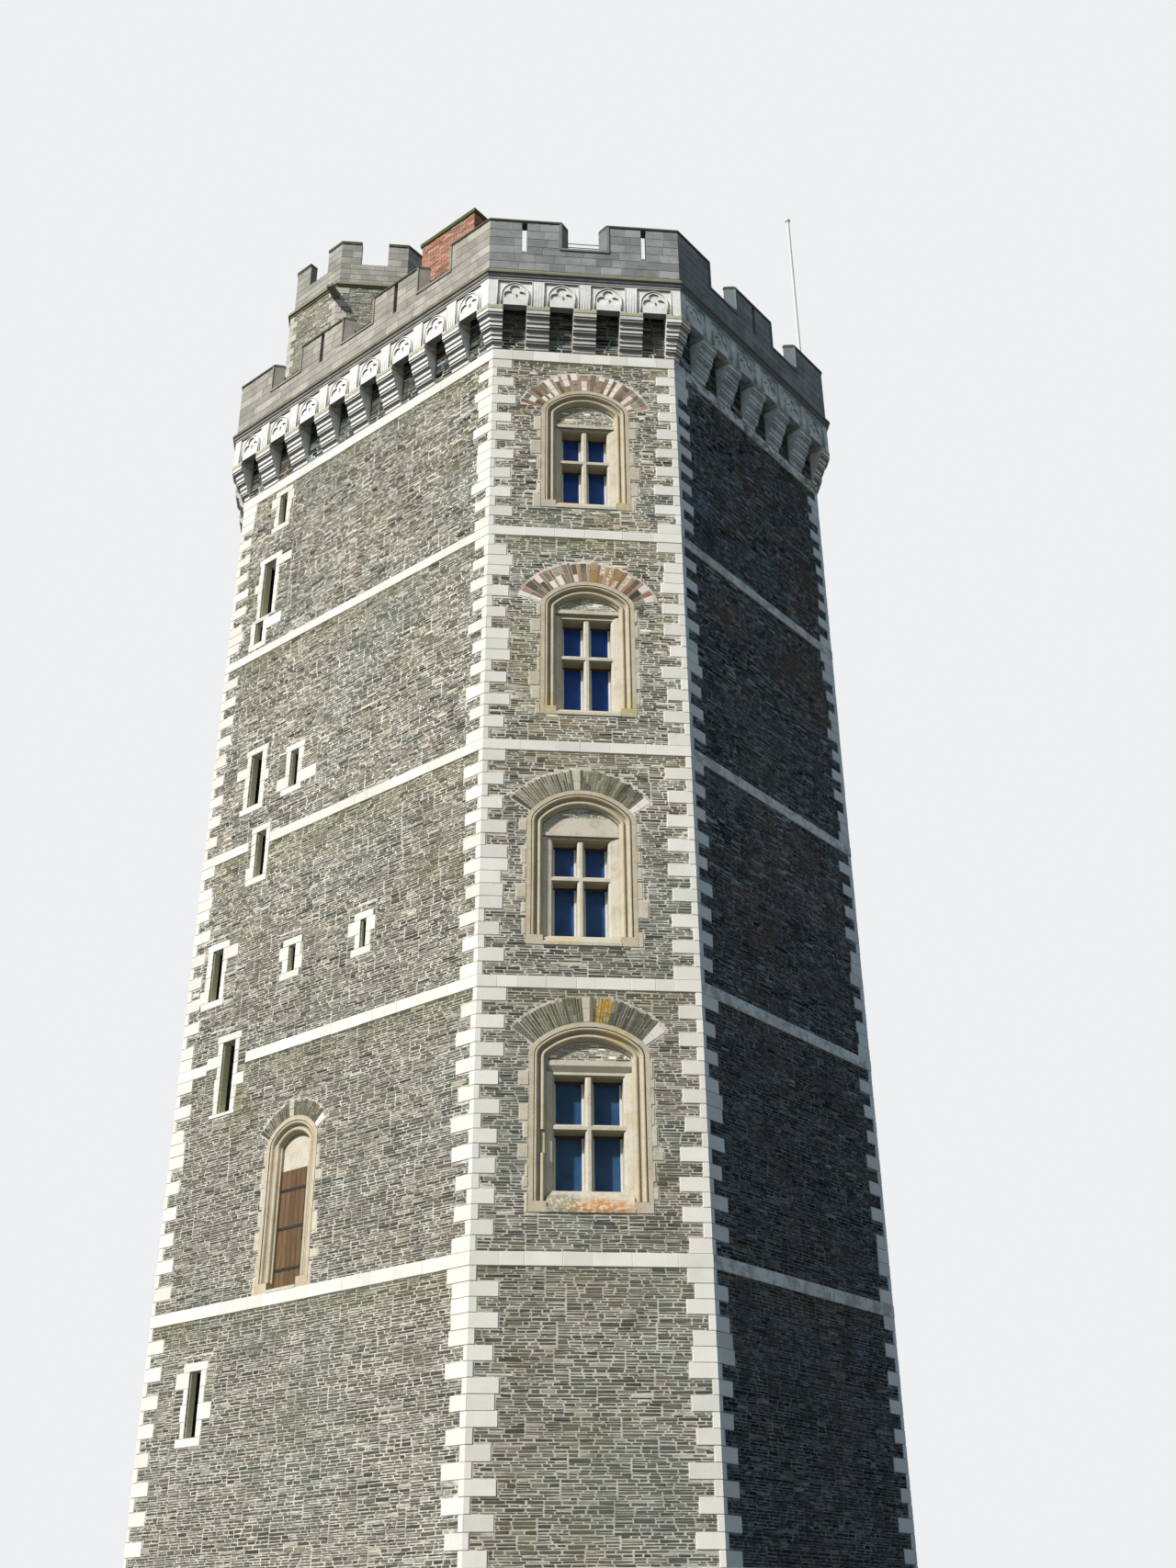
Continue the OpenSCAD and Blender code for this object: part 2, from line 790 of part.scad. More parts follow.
module turret_wall() {
    color("tan")
        difference() {
            prism8(turret_ap + 90, terrace, turret_cord);
            prism8(turret_ap + 90 - turret_t, terrace - 10, turret_cord + 10);
            translate([turret_at.x, turret_at.y, terrace - 10])
                translate([1000, -400, 0])
                    cube([3000, 800, 2010]);
            for (side = [-401, 400])
                translate([turret_at.x + 1000, turret_at.y + side, terrace - 10])
                    cube([3000, 1, turret_cord]);
            turret_joints(terrace - 10, turret_cord + 10);
        }
}

module turret_cornice() {
    color("darkkhaki")
        difference() {
            union() {
                prism8(turret_ap + 130, turret_cord, turret_cord + 60);
                prism8(turret_ap + 180, turret_cord + 60, turret_cord + 150);
                prism8(turret_ap + 90, turret_cord + 150, turret_cord + 220);
            }
            prism8(turret_ap - parapet_t, turret_cord - 10, turret_cord + 300);
            turret_joints(turret_cord - 10, turret_cord + 300);
        }
}

module turret_parapet() {
    color("darkkhaki")
        difference() {
            union() {
                prism8(turret_ap, turret_cord + 220, turret_top - 100);
                prism8(turret_ap + 30, turret_top - 100, turret_top);
            }
            prism8(turret_ap - parapet_t, turret_cord, turret_top + 10);
            turret_joints(turret_cord, turret_top + 10);
            prism8(turret_ap + 200, turret_sill, turret_sill + 1);
            for (k = [0:7])
                translate([turret_at.x, turret_at.y, turret_sill])
                    rotate([0, 0, 45 * k])
                        translate([turret_ap - 600, -415, 0])
                            cube([1000, 830, 2000]);
        }
}

module turret_roof() {
    color("gray") prism8(turret_ap - parapet_t, turret_cord, turret_cord + 150);
}

// Water spout at the front left corner of the turret
module turret_spout() {
    color("gray")
        translate([turret_at.x, turret_at.y, turret_cord - 520])
            rotate([0, 0, -112.5])
                translate([(turret_ap + 90) / cos(22.5) - 30, 0, 0])
                    difference() {
                        rotate([90, 0, 0])
                            translate([0, 0, -100])
                                linear_extrude(200)
                                    polygon([[0, 0], [0, 220], [540, 150], [540, 40], [460, 20]]);
                        translate([-5, -50, 130])
                            cube([700, 100, 200]);
                    }
}

chimney_x = 6010;
chimney_y = 650;

module chimney_stack() {
    color("indianred")
        on_side(LEFT)
            difference() {
                block(chimney_x, chimney_x + chimney_l, chimney_y, chimney_y + chimney_d, terrace, chimney_top - 130);
                for (n = [0, 1])
                    translate([chimney_x + chimney_l * (0.27 + 0.46 * n) - 210, chimney_y + chimney_d / 2 - 150, terrace + 900])
                        cube([420, 300, 5000]);
            }
}

module chimney_coping() {
    color("darkolivegreen")
        on_side(LEFT)
            difference() {
                block(chimney_x - 45, chimney_x + chimney_l + 45, chimney_y - 45, chimney_y + chimney_d + 45,
                    chimney_top - 130, chimney_top);
                for (n = [0, 1])
                    translate([chimney_x + chimney_l * (0.27 + 0.46 * n) - 210, chimney_y + chimney_d / 2 - 150, terrace + 900])
                        cube([420, 300, 5000]);
            }
}

module flagpole() {
    at = inset(RIGHT_FLANK, 90);
    color("white") {
        translate([at.x, at.y, terrace])
            cylinder(h = pole_top - terrace, r = pole_r, $fn = 24);
        for (z = [terrace + 500, terrace + 1500])
            translate([at.x, at.y - 30, z])
                cube([90 + crown_out - parapet_t, 60, 40]);
    }
}

wall(FRONT);  // front_wall
wall(RIGHT);  // right_wall
wall(RIGHT_FLANK);  // right_flank_wall
wall(REAR_RIGHT);  // rear_right_wall
wall(REAR);  // rear_wall
wall(REAR_LEFT);  // rear_left_wall
wall(LEFT_FLANK);  // left_flank_wall
wall(LEFT);  // left_wall
string_courses();
ground_floor();
upper_floors();
roof_terrace();
window_surrounds();
window_crosses();
window_tympana();
window_glass();
left_slit_frames();
rear_slit_frames();
doorway_surround();
doorway_lintel();
doorway_door();
corbels(FRONT);  // front_corbels
corbels(RIGHT);  // right_corbels
corbels(LEFT);  // left_corbels
rear_corbels();
corner_corbels();
arcade(FRONT);  // front_arcade
arcade(RIGHT);  // right_arcade
arcade(LEFT);  // left_arcade
narrow_side_arcades();
rear_side_arcades();
parapet(FRONT);  // front_parapet
parapet(RIGHT);  // right_parapet
parapet(LEFT);  // left_parapet
narrow_side_parapets();
rear_side_parapets();
guard_rails();
turret_wall();
turret_cornice();
turret_parapet();
turret_roof();
turret_spout();
chimney_stack();
chimney_coping();
flagpole();
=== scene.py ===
"""The castle keep's looks: stones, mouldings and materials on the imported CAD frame. Metres."""

import math

import bmesh
import bpy
import numpy as np
from mathutils import Matrix, Vector


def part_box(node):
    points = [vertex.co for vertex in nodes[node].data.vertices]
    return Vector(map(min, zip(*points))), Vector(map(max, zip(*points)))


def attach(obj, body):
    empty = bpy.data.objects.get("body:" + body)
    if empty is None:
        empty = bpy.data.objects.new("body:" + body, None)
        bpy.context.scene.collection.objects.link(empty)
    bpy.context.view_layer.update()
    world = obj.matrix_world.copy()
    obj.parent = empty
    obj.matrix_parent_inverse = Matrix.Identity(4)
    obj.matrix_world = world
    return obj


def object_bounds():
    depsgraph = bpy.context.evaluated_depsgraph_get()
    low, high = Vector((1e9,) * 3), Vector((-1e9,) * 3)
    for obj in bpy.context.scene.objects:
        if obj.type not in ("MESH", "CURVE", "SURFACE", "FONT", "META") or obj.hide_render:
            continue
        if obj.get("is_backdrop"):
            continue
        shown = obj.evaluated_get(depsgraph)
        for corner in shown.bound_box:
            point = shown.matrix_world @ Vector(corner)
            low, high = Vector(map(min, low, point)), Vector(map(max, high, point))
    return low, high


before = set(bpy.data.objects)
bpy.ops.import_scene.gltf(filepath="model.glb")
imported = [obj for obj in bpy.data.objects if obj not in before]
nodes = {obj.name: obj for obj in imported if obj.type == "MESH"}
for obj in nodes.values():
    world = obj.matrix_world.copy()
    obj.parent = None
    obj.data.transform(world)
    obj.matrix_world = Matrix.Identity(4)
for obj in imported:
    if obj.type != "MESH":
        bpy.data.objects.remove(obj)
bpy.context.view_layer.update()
scene = bpy.context.scene

# The CAD frame's plan: an octagon whose sides are counted from the front to the right
HALF = math.tan(math.radians(22.5))
LENGTHS = [4.54, 6.60, 4.54, 9.49] * 2
BAYS = [4, 6, 4, 8] * 2
CRENELS = [1, 2, 1, 3] * 2
SIDES = ["front", "right", "right_flank", "rear_right", "rear", "rear_left", "left_flank", "left"]
FRONT, RIGHT, RIGHT_FLANK, REAR_RIGHT, REAR, LEFT = 0, 1, 2, 3, 4, 7
# The sides that take darker, bluer copies of their materials: painted shade
SHADED = (RIGHT, RIGHT_FLANK)
# Its heights and widths
LEVELS = [0.0, 5.61, 11.10, 16.60, 22.37, 27.85]
BAND_H, TOP_BAND_H = 0.26, 0.32
MOULD_W, REVEAL, MULLION_W = 0.35, 0.20, 0.146
CROWN_OUT, CORBEL_W, CORNER_W = 0.43, 0.58, 0.20
ARCADE_Z, CORNICE_Z, TERRACE, SILL_Z, PARAPET_TOP = 28.929, 29.829, 30.059, 31.029, 31.989
COPING_H, CRENEL_STEP, CRENEL_HALF = 0.11, 2.92, 0.645
TURRET_AT, TURRET_AP, TURRET_WALL_OUT = (-4.876, 1.602), 2.511, 0.09
TURRET_CORD, TURRET_SILL, TURRET_TOP = 36.600, 37.700, 38.640
CHIMNEY_X, CHIMNEY_Y, CHIMNEY_L, CHIMNEY_D, CHIMNEY_TOP = 6.010, 0.650, 2.010, 0.820, 34.370
# Foot, glass from, transom, glass to, springing, rise, half width in the arch, half width of the
# glass, distance off the middle, label's top over the glass, slab over the label
WINDOWS = [
    [23.000, 23.294, 24.543, 25.483, 25.930, 0.370, 0.725, 0.550, 0.020, 0.205, 0.0],
    [17.290, 17.529, 18.901, 19.926, 20.180, 0.350, 0.725, 0.556, 0.035, 0.265, 0.0],
    [11.800, 12.074, 13.380, 14.260, 14.630, 0.420, 0.815, 0.585, -0.140, 0.200, 0.340],
    [6.350, 6.802, 8.043, 9.071, 9.430, 0.365, 0.850, 0.685, -0.010, 0.330, 0.0],
]
DOOR_X = 4.20
DOORWAY = [5.610, 5.670, 0, 8.150, 8.660, 0.240, 0.450, 0.430, 0.0, 0.0, 0.0]
# Slits: left, right, from, to; then the dressed frame in the same terms
LEFT_SLITS = [
    [1.600, 1.890, 26.250, 27.270, 1.250, 2.160, 25.860, 27.530],
    [1.210, 1.680, 23.370, 25.140, 0.900, 2.310, 23.315, 25.410],
    [1.090, 1.390, 22.590, 23.260, 0.900, 2.100, 22.370, 23.314],
    [1.500, 1.920, 17.600, 19.080, 0.990, 2.230, 17.210, 19.430],
    [3.030, 3.310, 17.650, 18.660, 2.580, 4.000, 17.210, 18.880],
    [2.010, 2.360, 15.540, 16.750, 1.720, 2.500, 15.360, 16.950],
    [0.800, 1.180, 12.660, 13.950, 0.470, 1.730, 12.350, 14.260],
    [3.570, 3.800, 12.710, 13.350, 3.250, 4.060, 12.350, 13.670],
    [5.930, 6.110, 12.650, 13.320, 5.540, 6.400, 12.290, 13.650],
    [1.540, 1.970, 9.820, 11.500, 1.010, 2.380, 9.740, 11.830],
    [1.540, 1.910, 3.000, 4.300, 1.100, 2.350, 2.750, 4.600],
]
REAR_SLITS = [[4.575, 4.915, z + 2.2, z + 3.5, 4.185, 5.305, z + 1.95, z + 3.8] for z in LEVELS[:5]]
SLIT_FACES = {LEFT: LEFT_SLITS, REAR_RIGHT: REAR_SLITS}


def band_under(s):
    return LEVELS[s] - (TOP_BAND_H if s == 5 else BAND_H)


class Face:
    """A local frame with x to the right seen from outside, y inward and z up."""

    def __init__(self, origin, angle, length):
        a = math.radians(angle)
        self.origin = np.array(origin, float)
        self.along = np.array([math.cos(a), math.sin(a)])
        self.inward = np.array([-math.sin(a), math.cos(a)])
        self.length = length

    def place(self, points):
        p = np.asarray(points, float)
        xy = self.origin + p[..., 0:1] * self.along + p[..., 1:2] * self.inward
        return np.concatenate([xy, p[..., 2:3]], axis=-1)


def plan_corners():
    points = [np.zeros(2)]
    for i, length in enumerate(LENGTHS[:7]):
        a = math.radians(45 * i)
        points.append(points[-1] + length * np.array([math.cos(a), math.sin(a)]))
    middle = points[4] / 2
    return [p - middle for p in points]


WALLS = [Face(corner, 45 * i, LENGTHS[i]) for i, corner in enumerate(plan_corners())]


def turret_face(k, apothem):
    a = math.radians(45 * k)
    length = 2 * apothem * HALF
    middle = np.array(TURRET_AT) + apothem * np.array([math.sin(a), -math.cos(a)])
    return Face(middle - np.array([math.cos(a), math.sin(a)]) * length / 2, 45 * k, length)


def rough_blocks(rng, rects, out, back, gap, jitter):
    """Roughly squared stones: rects (n, 4) of x0, x1, z0, z1; out is the least and the most that
    they stand proud, and gap the least and the most between them."""
    n = len(rects)
    x0, x1, z0, z1 = rects.T
    gx = rng.uniform(gap[0], gap[1], (n, 2))
    gz = rng.uniform(gap[0], gap[1], (n, 2)) * 0.5
    a, b = x0 + gx[:, 0], x1 - gx[:, 1]
    c, d = z0 + gz[:, 0], z1 - gz[:, 1]
    face = -(out[0] + (out[1] - out[0]) * rng.random(n) ** 1.6)
    slack = np.minimum(1.0, np.minimum(b - a, (d - c) * 1.6)[:, None] / (5 * jitter))
    to_x, to_z = np.array([1, -1, -1, 1]), np.array([1, 1, -1, -1])

    def moved(signs, least, most):
        return signs * rng.uniform(least, most, (n, 4)) * jitter * slack

    p = np.zeros((n, 8, 3))
    xs = np.stack([a, b, b, a], 1) + moved(to_x, 0.0, 1.0)
    zs = np.stack([c, c, d, d], 1) + moved(to_z, 0.0, 0.8)
    p[:, :4, 0], p[:, :4, 1], p[:, :4, 2] = xs, back, zs
    p[:, 4:, 0], p[:, 4:, 2] = xs + moved(to_x, 0.1, 0.8), zs + moved(to_z, 0.1, 0.7)
    p[:, 4:, 1] = face[:, None] + rng.uniform(-0.3, 0.3, (n, 4)) * jitter
    return p


def dressed_blocks(rects, out, back, gap=0.004, chamfer=0.008, mitre=None):
    """Chamfered stones; mitre (n, 2) marks ends that turn a corner at 22.5 degrees."""
    rects = np.asarray(rects, float).reshape(-1, 4)
    n = len(rects)
    out = np.broadcast_to(np.asarray(out, float), n)
    mitre = np.zeros((n, 2), bool) if mitre is None else np.asarray(mitre, bool).reshape(-1, 2)
    x0, x1, z0, z1 = rects.T
    p = np.zeros((n, 12, 3))
    rings = ((np.full(n, back), 0.0), (-out + chamfer, 0.0), (-out, chamfer))
    for ring, (y, inset) in enumerate(rings):
        a = np.where(mitre[:, 0], x0 + y * HALF, x0 + gap + inset)
        b = np.where(mitre[:, 1], x1 - y * HALF, x1 - gap - inset)
        c, d = z0 + gap + inset, z1 - gap - inset
        corners = p[:, 4 * ring:4 * ring + 4]
        corners[:, :, 0] = np.stack([a, b, b, a], 1)
        corners[:, :, 1] = y[:, None]
        corners[:, :, 2] = np.stack([c, c, d, d], 1)
    return p


def tones(rng, n):
    """Mostly mid greys, with some dark stones and a few pale ones."""
    t = np.clip(rng.normal(0.40, 0.21, n), 0.0, 0.84)
    dark = rng.random(n) < 0.12
    pale = rng.random(n) < 0.06
    t = np.where(dark, rng.uniform(0.0, 0.16, n), t)
    return np.where(pale, rng.uniform(0.88, 1.0, n), t)


def any_tones(rng, n):
    return rng.random(n)


class Pile:
    """Blocks gathered into one mesh, each with its own tone."""

    BODY = [[3, 2, 1, 0], [0, 1, 5, 4], [7, 6, 2, 3], [4, 7, 3, 0], [5, 1, 2, 6]]
    CHAMFERS = [[4, 5, 9, 8], [6, 7, 11, 10], [7, 4, 8, 11], [5, 6, 10, 9]]
    HEX = np.array([[4, 5, 6, 7]] + BODY)
    CUT = np.array([[8, 9, 10, 11]] + BODY + CHAMFERS)

    def __init__(self):
        self.verts, self.faces, self.tones, self.count = [], [], [], 0

    def add(self, points, faces, tone):
        """points: (n, k, 3); faces: indices of one block's faces; tone: one value or n."""
        n, k = points.shape[:2]
        offset = self.count + k * np.arange(n)[:, None, None]
        self.verts.append(points.reshape(-1, 3))
        self.faces.extend((faces[None] + offset).reshape(-1, faces.shape[1]).tolist())
        self.tones.append(np.repeat(np.broadcast_to(tone, n), k))
        self.count += n * k

    def rough(self, rng, face, rects, out, back, gap, jitter, toning=tones, inset=0.0):
        blocks = rough_blocks(rng, rects, out, back, gap, jitter)
        blocks[:, :, 1] += inset
        self.add(face.place(blocks), self.HEX, toning(rng, len(rects)))

    def dressed(self, rng, face, rects, out, back, *how, mitre=None, inset=0.0):
        """how: the gap and the chamfer, where they aren't the usual ones."""
        blocks = dressed_blocks(rects, out, back, *how, mitre=mitre)
        blocks[:, :, 1] += inset
        self.add(face.place(blocks), self.CUT, rng.random(len(rects)))

    def bars(self, face, boxes, tone=0.5):
        """Plain bars as x0, x1, y0, y1, z0, z1."""
        for x0, x1, y0, y1, z0, z1 in boxes:
            points = list(zip([x0, x1, x1, x0] * 2, [y1] * 4 + [y0] * 4, [z0, z0, z1, z1] * 2))
            self.add(face.place([points]), self.HEX, tone)

    def build(self, name, look, slot, smooth=False):
        mesh = bpy.data.meshes.new(name)
        mesh.from_pydata(np.concatenate(self.verts).tolist(), [], self.faces)
        tone = mesh.attributes.new("tone", "FLOAT", "POINT")
        tone.data.foreach_set("value", np.concatenate(self.tones).astype(np.float32))
        if smooth:
            mesh.shade_smooth()
        finish_piece(name, mesh, look)


def add_object(name, data):
    made = bpy.data.objects.new(name, data)
    scene.collection.objects.link(made)
    return made


def finish_piece(name, mesh, look):
    piece = add_object(name, mesh)
    mesh.materials.append(M[look])
    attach(piece, "root")


def unit(rows):
    return rows / np.linalg.norm(rows, axis=1)[:, None]


def course_cuts(rng, x0, x1, low, high):
    """Joints of a course from x0 to x1, low to high apart."""
    cuts = [x0]
    while x1 - cuts[-1] > high:
        cuts.append(cuts[-1] + rng.uniform(low, high))
    if x1 - cuts[-1] < low * 0.5 and len(cuts) > 1:
        cuts.pop()
    return cuts + [x1]


def ashlar(rng, wall, x0, x1, z0, z1, low, high):
    """The blocks of one course, and which of their ends turn a corner of the wall."""
    cuts = course_cuts(rng, x0, x1, low, high)
    pairs = list(zip(cuts, cuts[1:]))
    return [(p, q, z0, z1) for p, q in pairs], [(p == 0.0, q == wall.length) for p, q in pairs]


def without(spans, x0, x1):
    """The interval x0..x1 less the given spans."""
    free = [(x0, x1)]
    for a, b in spans:
        kept = []
        for p, q in free:
            if b <= p or a >= q:
                kept.append((p, q))
                continue
            if a > p:
                kept.append((p, a))
            if b < q:
                kept.append((b, q))
        free = kept
    return free


PANEL_H, PANEL_W, SLIVER_W = 0.5, 2.4, 0.12


def rubble(rng, x0, x1, z0, z1, blocked, high=0.135, long=0.50, short=0.05):
    """Parts a panel into thin stones, clipped to what blocked(z0, z1) leaves free."""
    stones = []
    todo = [(x0, x1, z0, z1)]
    while todo:
        a, b, c, d = todo.pop()
        w, h = b - a, d - c
        share = rng.uniform(0.34, 0.66)
        tall = h > PANEL_H or (w <= PANEL_W and h > high * rng.uniform(0.8, 1.25) and w > SLIVER_W)
        wide = w > PANEL_W or w > long * rng.uniform(0.65, 1.2)
        if tall:
            todo += [(a, b, c, c + h * share), (a, b, c + h * share, d)]
        elif wide:
            todo += [(a, a + w * share, c, d), (a + w * share, b, c, d)]
        else:
            stones += [(p, q, c, d) for p, q in without(blocked(c, d), a, b) if q - p > short]
    return np.array(stones)


def nothing_blocked(z0, z1):
    return []


HAUNCH_SHARE = 0.2


class Window:
    """One arched window or doorway, with the fan of stones over it."""

    def __init__(self, values, middle, fan, fan_from):
        self.foot, self.glass_low, self.transom, self.glass_high = values[:4]
        self.spring, self.rise, self.half, self.glass_half = values[4:8]
        off, self.label, self.slab = values[8:]
        self.x = middle + off
        self.fan = fan
        self.points, self.normals, self.reach = self.curve(MOULD_W)
        angles = np.degrees(np.arctan2(self.normals[:, 1], self.normals[:, 0]))
        self.fan_from = float(np.interp(fan_from, angles, self.reach))
        self.edge = self.fan_outline()

    def curve(self, d, n=60):
        """Points and outward normals of the arch, d outside its opening, from right to left."""
        r = self.rise * HAUNCH_SHARE
        hx = self.half - r
        drop = (hx ** 2 - (self.rise - r) ** 2) / (2 * (self.rise - r))
        turn = math.atan2(drop, hx)
        arcs = [
            (hx, self.spring, r + d, 0.0, turn),
            (0.0, self.spring - drop, self.rise + drop + d, turn, math.pi - turn),
            (-hx, self.spring, r + d, math.pi - turn, math.pi),
        ]
        points, normals = [], []
        for x, z, radius, a0, a1 in arcs:
            for a in np.linspace(a0, a1, n):
                normals.append((math.cos(a), math.sin(a)))
                points.append((x + radius * math.cos(a), z + radius * math.sin(a)))
        points = np.array(points)
        steps = np.linalg.norm(np.diff(points, axis=0), axis=1)
        return points, np.array(normals), np.concatenate([[0], np.cumsum(steps)])

    def at(self, u):
        """Points and normals at the distances u along the moulding's outer edge."""
        p, q = (np.stack([np.interp(u, self.reach, values[:, k]) for k in (0, 1)], 1)
                for values in (self.points, self.normals))
        return p, unit(q)

    def fan_outline(self):
        """The outer edge of the fan, and of the moulding below where it springs."""
        p, q = self.at(np.linspace(self.fan_from, self.reach[-1] / 2, 200))
        outer = p + q * self.fan
        radial = p[0] + np.outer(np.linspace(0, 1, 30), outer[0] - p[0])
        inner = self.at(np.linspace(0, self.fan_from, 60))[0]
        return np.concatenate([inner, radial, outer])

    def blocked_half(self, z0, z1):
        """Half the width it takes from the rubble between two heights."""
        if z1 < self.foot:
            return 0.0
        inside = (self.edge[:, 1] >= z0) & (self.edge[:, 1] <= z1)
        reach = [self.half + MOULD_W] if z0 < self.spring else []
        if inside.any():
            reach.append(self.edge[inside, 0].max())
        return max(reach) if reach else 0.0


# Depth of each window's fan, and the angle it springs from
FANS = [(0.56, 16.0), (0.56, 14.0), (0.52, 34.0), (0.56, 36.0)]
WINDOW_FACES = {i: [Window(w, LENGTHS[i] / 2, *fan) for w, fan in zip(WINDOWS, FANS)]
                for i in (FRONT, REAR)}
WINDOW_FACES[LEFT] = [Window(DOORWAY, DOOR_X, 0.36, 30.0)]

# Quoins, window blocks and slit frames: rectangles that the rubble leaves free
QUOIN_H, QUOIN_LONG, QUOIN_SHORT = 0.287, (0.42, 0.60), (0.10, 0.15)
BOTH_LONG_SHARE, BOTH_LONG_CUT = 0.12, 0.8
rng = np.random.default_rng(11)
quoins = {i: [] for i in range(8)}
for c in range(8):
    before = (c + 7) % 8
    for s in range(5):
        low, high = LEVELS[s], band_under(s + 1)
        courses = round((high - low) / QUOIN_H)
        step = (high - low) / courses
        for k in range(courses):
            z0, z1 = low + k * step, low + (k + 1) * step
            far, near = rng.uniform(*QUOIN_LONG), rng.uniform(*QUOIN_SHORT)
            here, there = (far, near) if k % 2 else (near, far)
            if rng.random() < BOTH_LONG_SHARE:
                here, there = far, far * BOTH_LONG_CUT
            quoins[c].append((0.0, here, z0, z1, True, False))
            quoins[before].append((LENGTHS[before] - there, LENGTHS[before], z0, z1, False, True))

SIDE_H, SIDE_SPACE, SIDE_SHARE = (0.18, 0.42), (0.0, 0.14), 0.78
SIDE_SHORT, SIDE_LONG, SHORT_SHARE = (0.05, 0.12), (0.15, 0.26), 0.66
side_blocks = {i: [] for i in WINDOW_FACES}
for i, found in WINDOW_FACES.items():
    for win, side in [(win, side) for win in found for side in (-1, 1)]:
        z = win.foot - 0.01
        while z < win.spring - 0.15:
            top = z + rng.uniform(*SIDE_H)
            if rng.random() < SIDE_SHARE:
                reach = rng.uniform(*(SIDE_SHORT if rng.random() < SHORT_SHARE else SIDE_LONG))
                a = win.x + side * (win.half + MOULD_W)
                b = a + side * reach
                side_blocks[i].append((min(a, b), max(a, b), z, min(top, win.spring)))
                top += rng.uniform(*SIDE_SPACE)
            z = top

LINTEL_H, JAMB_H, JAMB_REACH = 0.175, 0.30, (0.13, 0.19)
SILL_REACH, LINTEL_REACH, LEAST_H, LEAST_W = (0.26, 0.17), (0.20, 0.20), 0.02, 0.03
frame_blocks = {i: [] for i in SLIT_FACES}
frame_fill = {i: [] for i in SLIT_FACES}
for i, found in SLIT_FACES.items():
    for left, right, low, high, edge_0, edge_1, rect_low, rect_high in found:
        sill_low = max(rect_low, low - LINTEL_H)
        lintel_high = min(rect_high, high + LINTEL_H)
        steps = max(2, round((high - low) / JAMB_H))
        longs = (rng.integers(steps), rng.integers(steps))
        cuts = np.linspace(low, high, steps + 1)
        for k in range(steps):
            reach_0 = left - edge_0 if k == longs[0] else rng.uniform(*JAMB_REACH)
            reach_1 = edge_1 - right if k == longs[1] else rng.uniform(*JAMB_REACH)
            a, b = max(edge_0, left - reach_0), min(edge_1, right + reach_1)
            frame_blocks[i] += [(a, left, cuts[k], cuts[k + 1]), (right, b, cuts[k], cuts[k + 1])]
            frame_fill[i] += [(edge_0, a, cuts[k], cuts[k + 1]), (b, edge_1, cuts[k], cuts[k + 1])]
        rows = [
            (rect_low, sill_low, None), (sill_low, low, SILL_REACH),
            (high, lintel_high, LINTEL_REACH), (lintel_high, rect_high, None),
        ]
        for z0, z1, reach in rows:
            if z1 - z0 < LEAST_H:
                continue
            a = b = edge_0
            if reach:
                a, b = max(edge_0, left - reach[0]), min(edge_1, right + reach[1])
                frame_blocks[i].append((a, b, z0, z1))
            frame_fill[i] += [(edge_0, a, z0, z1), (b, edge_1, z0, z1)]
    frame_fill[i] = [r for r in frame_fill[i] if r[1] - r[0] > LEAST_W]

TOUCH = 0.004


def hit_spans(rects, z0, z1):
    """The x spans of the rectangles that cross the heights z0 to z1."""
    hit = (rects[:, 2] < z1 - TOUCH) & (rects[:, 3] > z0 + TOUCH)
    return [(r[0], r[1]) for r in rects[hit]]


def blocked_on(i):
    """A function that gives the spans of side i that carry no rubble between two heights."""
    rects = [q[:4] for q in quoins[i]] + side_blocks.get(i, [])
    rects = np.array(rects + [tuple(s[4:]) for s in SLIT_FACES.get(i, [])])

    def spans(z0, z1):
        found = hit_spans(rects, z0, z1)
        for win in WINDOW_FACES.get(i, []):
            reach = win.blocked_half(z0, z1)
            if reach > 0:
                found.append((win.x - reach, win.x + reach))
        return found

    return spans


class Tree:
    """A node tree; each input is another node's socket or a value."""

    def __init__(self, owner):
        owner.use_nodes = True
        self.tree = owner.node_tree
        self.tree.nodes.clear()

    def add(self, kind, inputs=None, **settings):
        node = self.tree.nodes.new("ShaderNode" + kind)
        for key, value in settings.items():
            setattr(node, key, value)
        for key, value in (inputs or {}).items():
            self.put(node.inputs[key], value)
        return node

    def put(self, socket, value):
        if isinstance(value, bpy.types.NodeSocket):
            self.tree.links.new(value, socket)
        else:
            socket.default_value = value

    def math(self, operation, a, b=0.0):
        return self.add("Math", {0: a, 1: b}, operation=operation).outputs[0]


EAST, UP = 0, 2


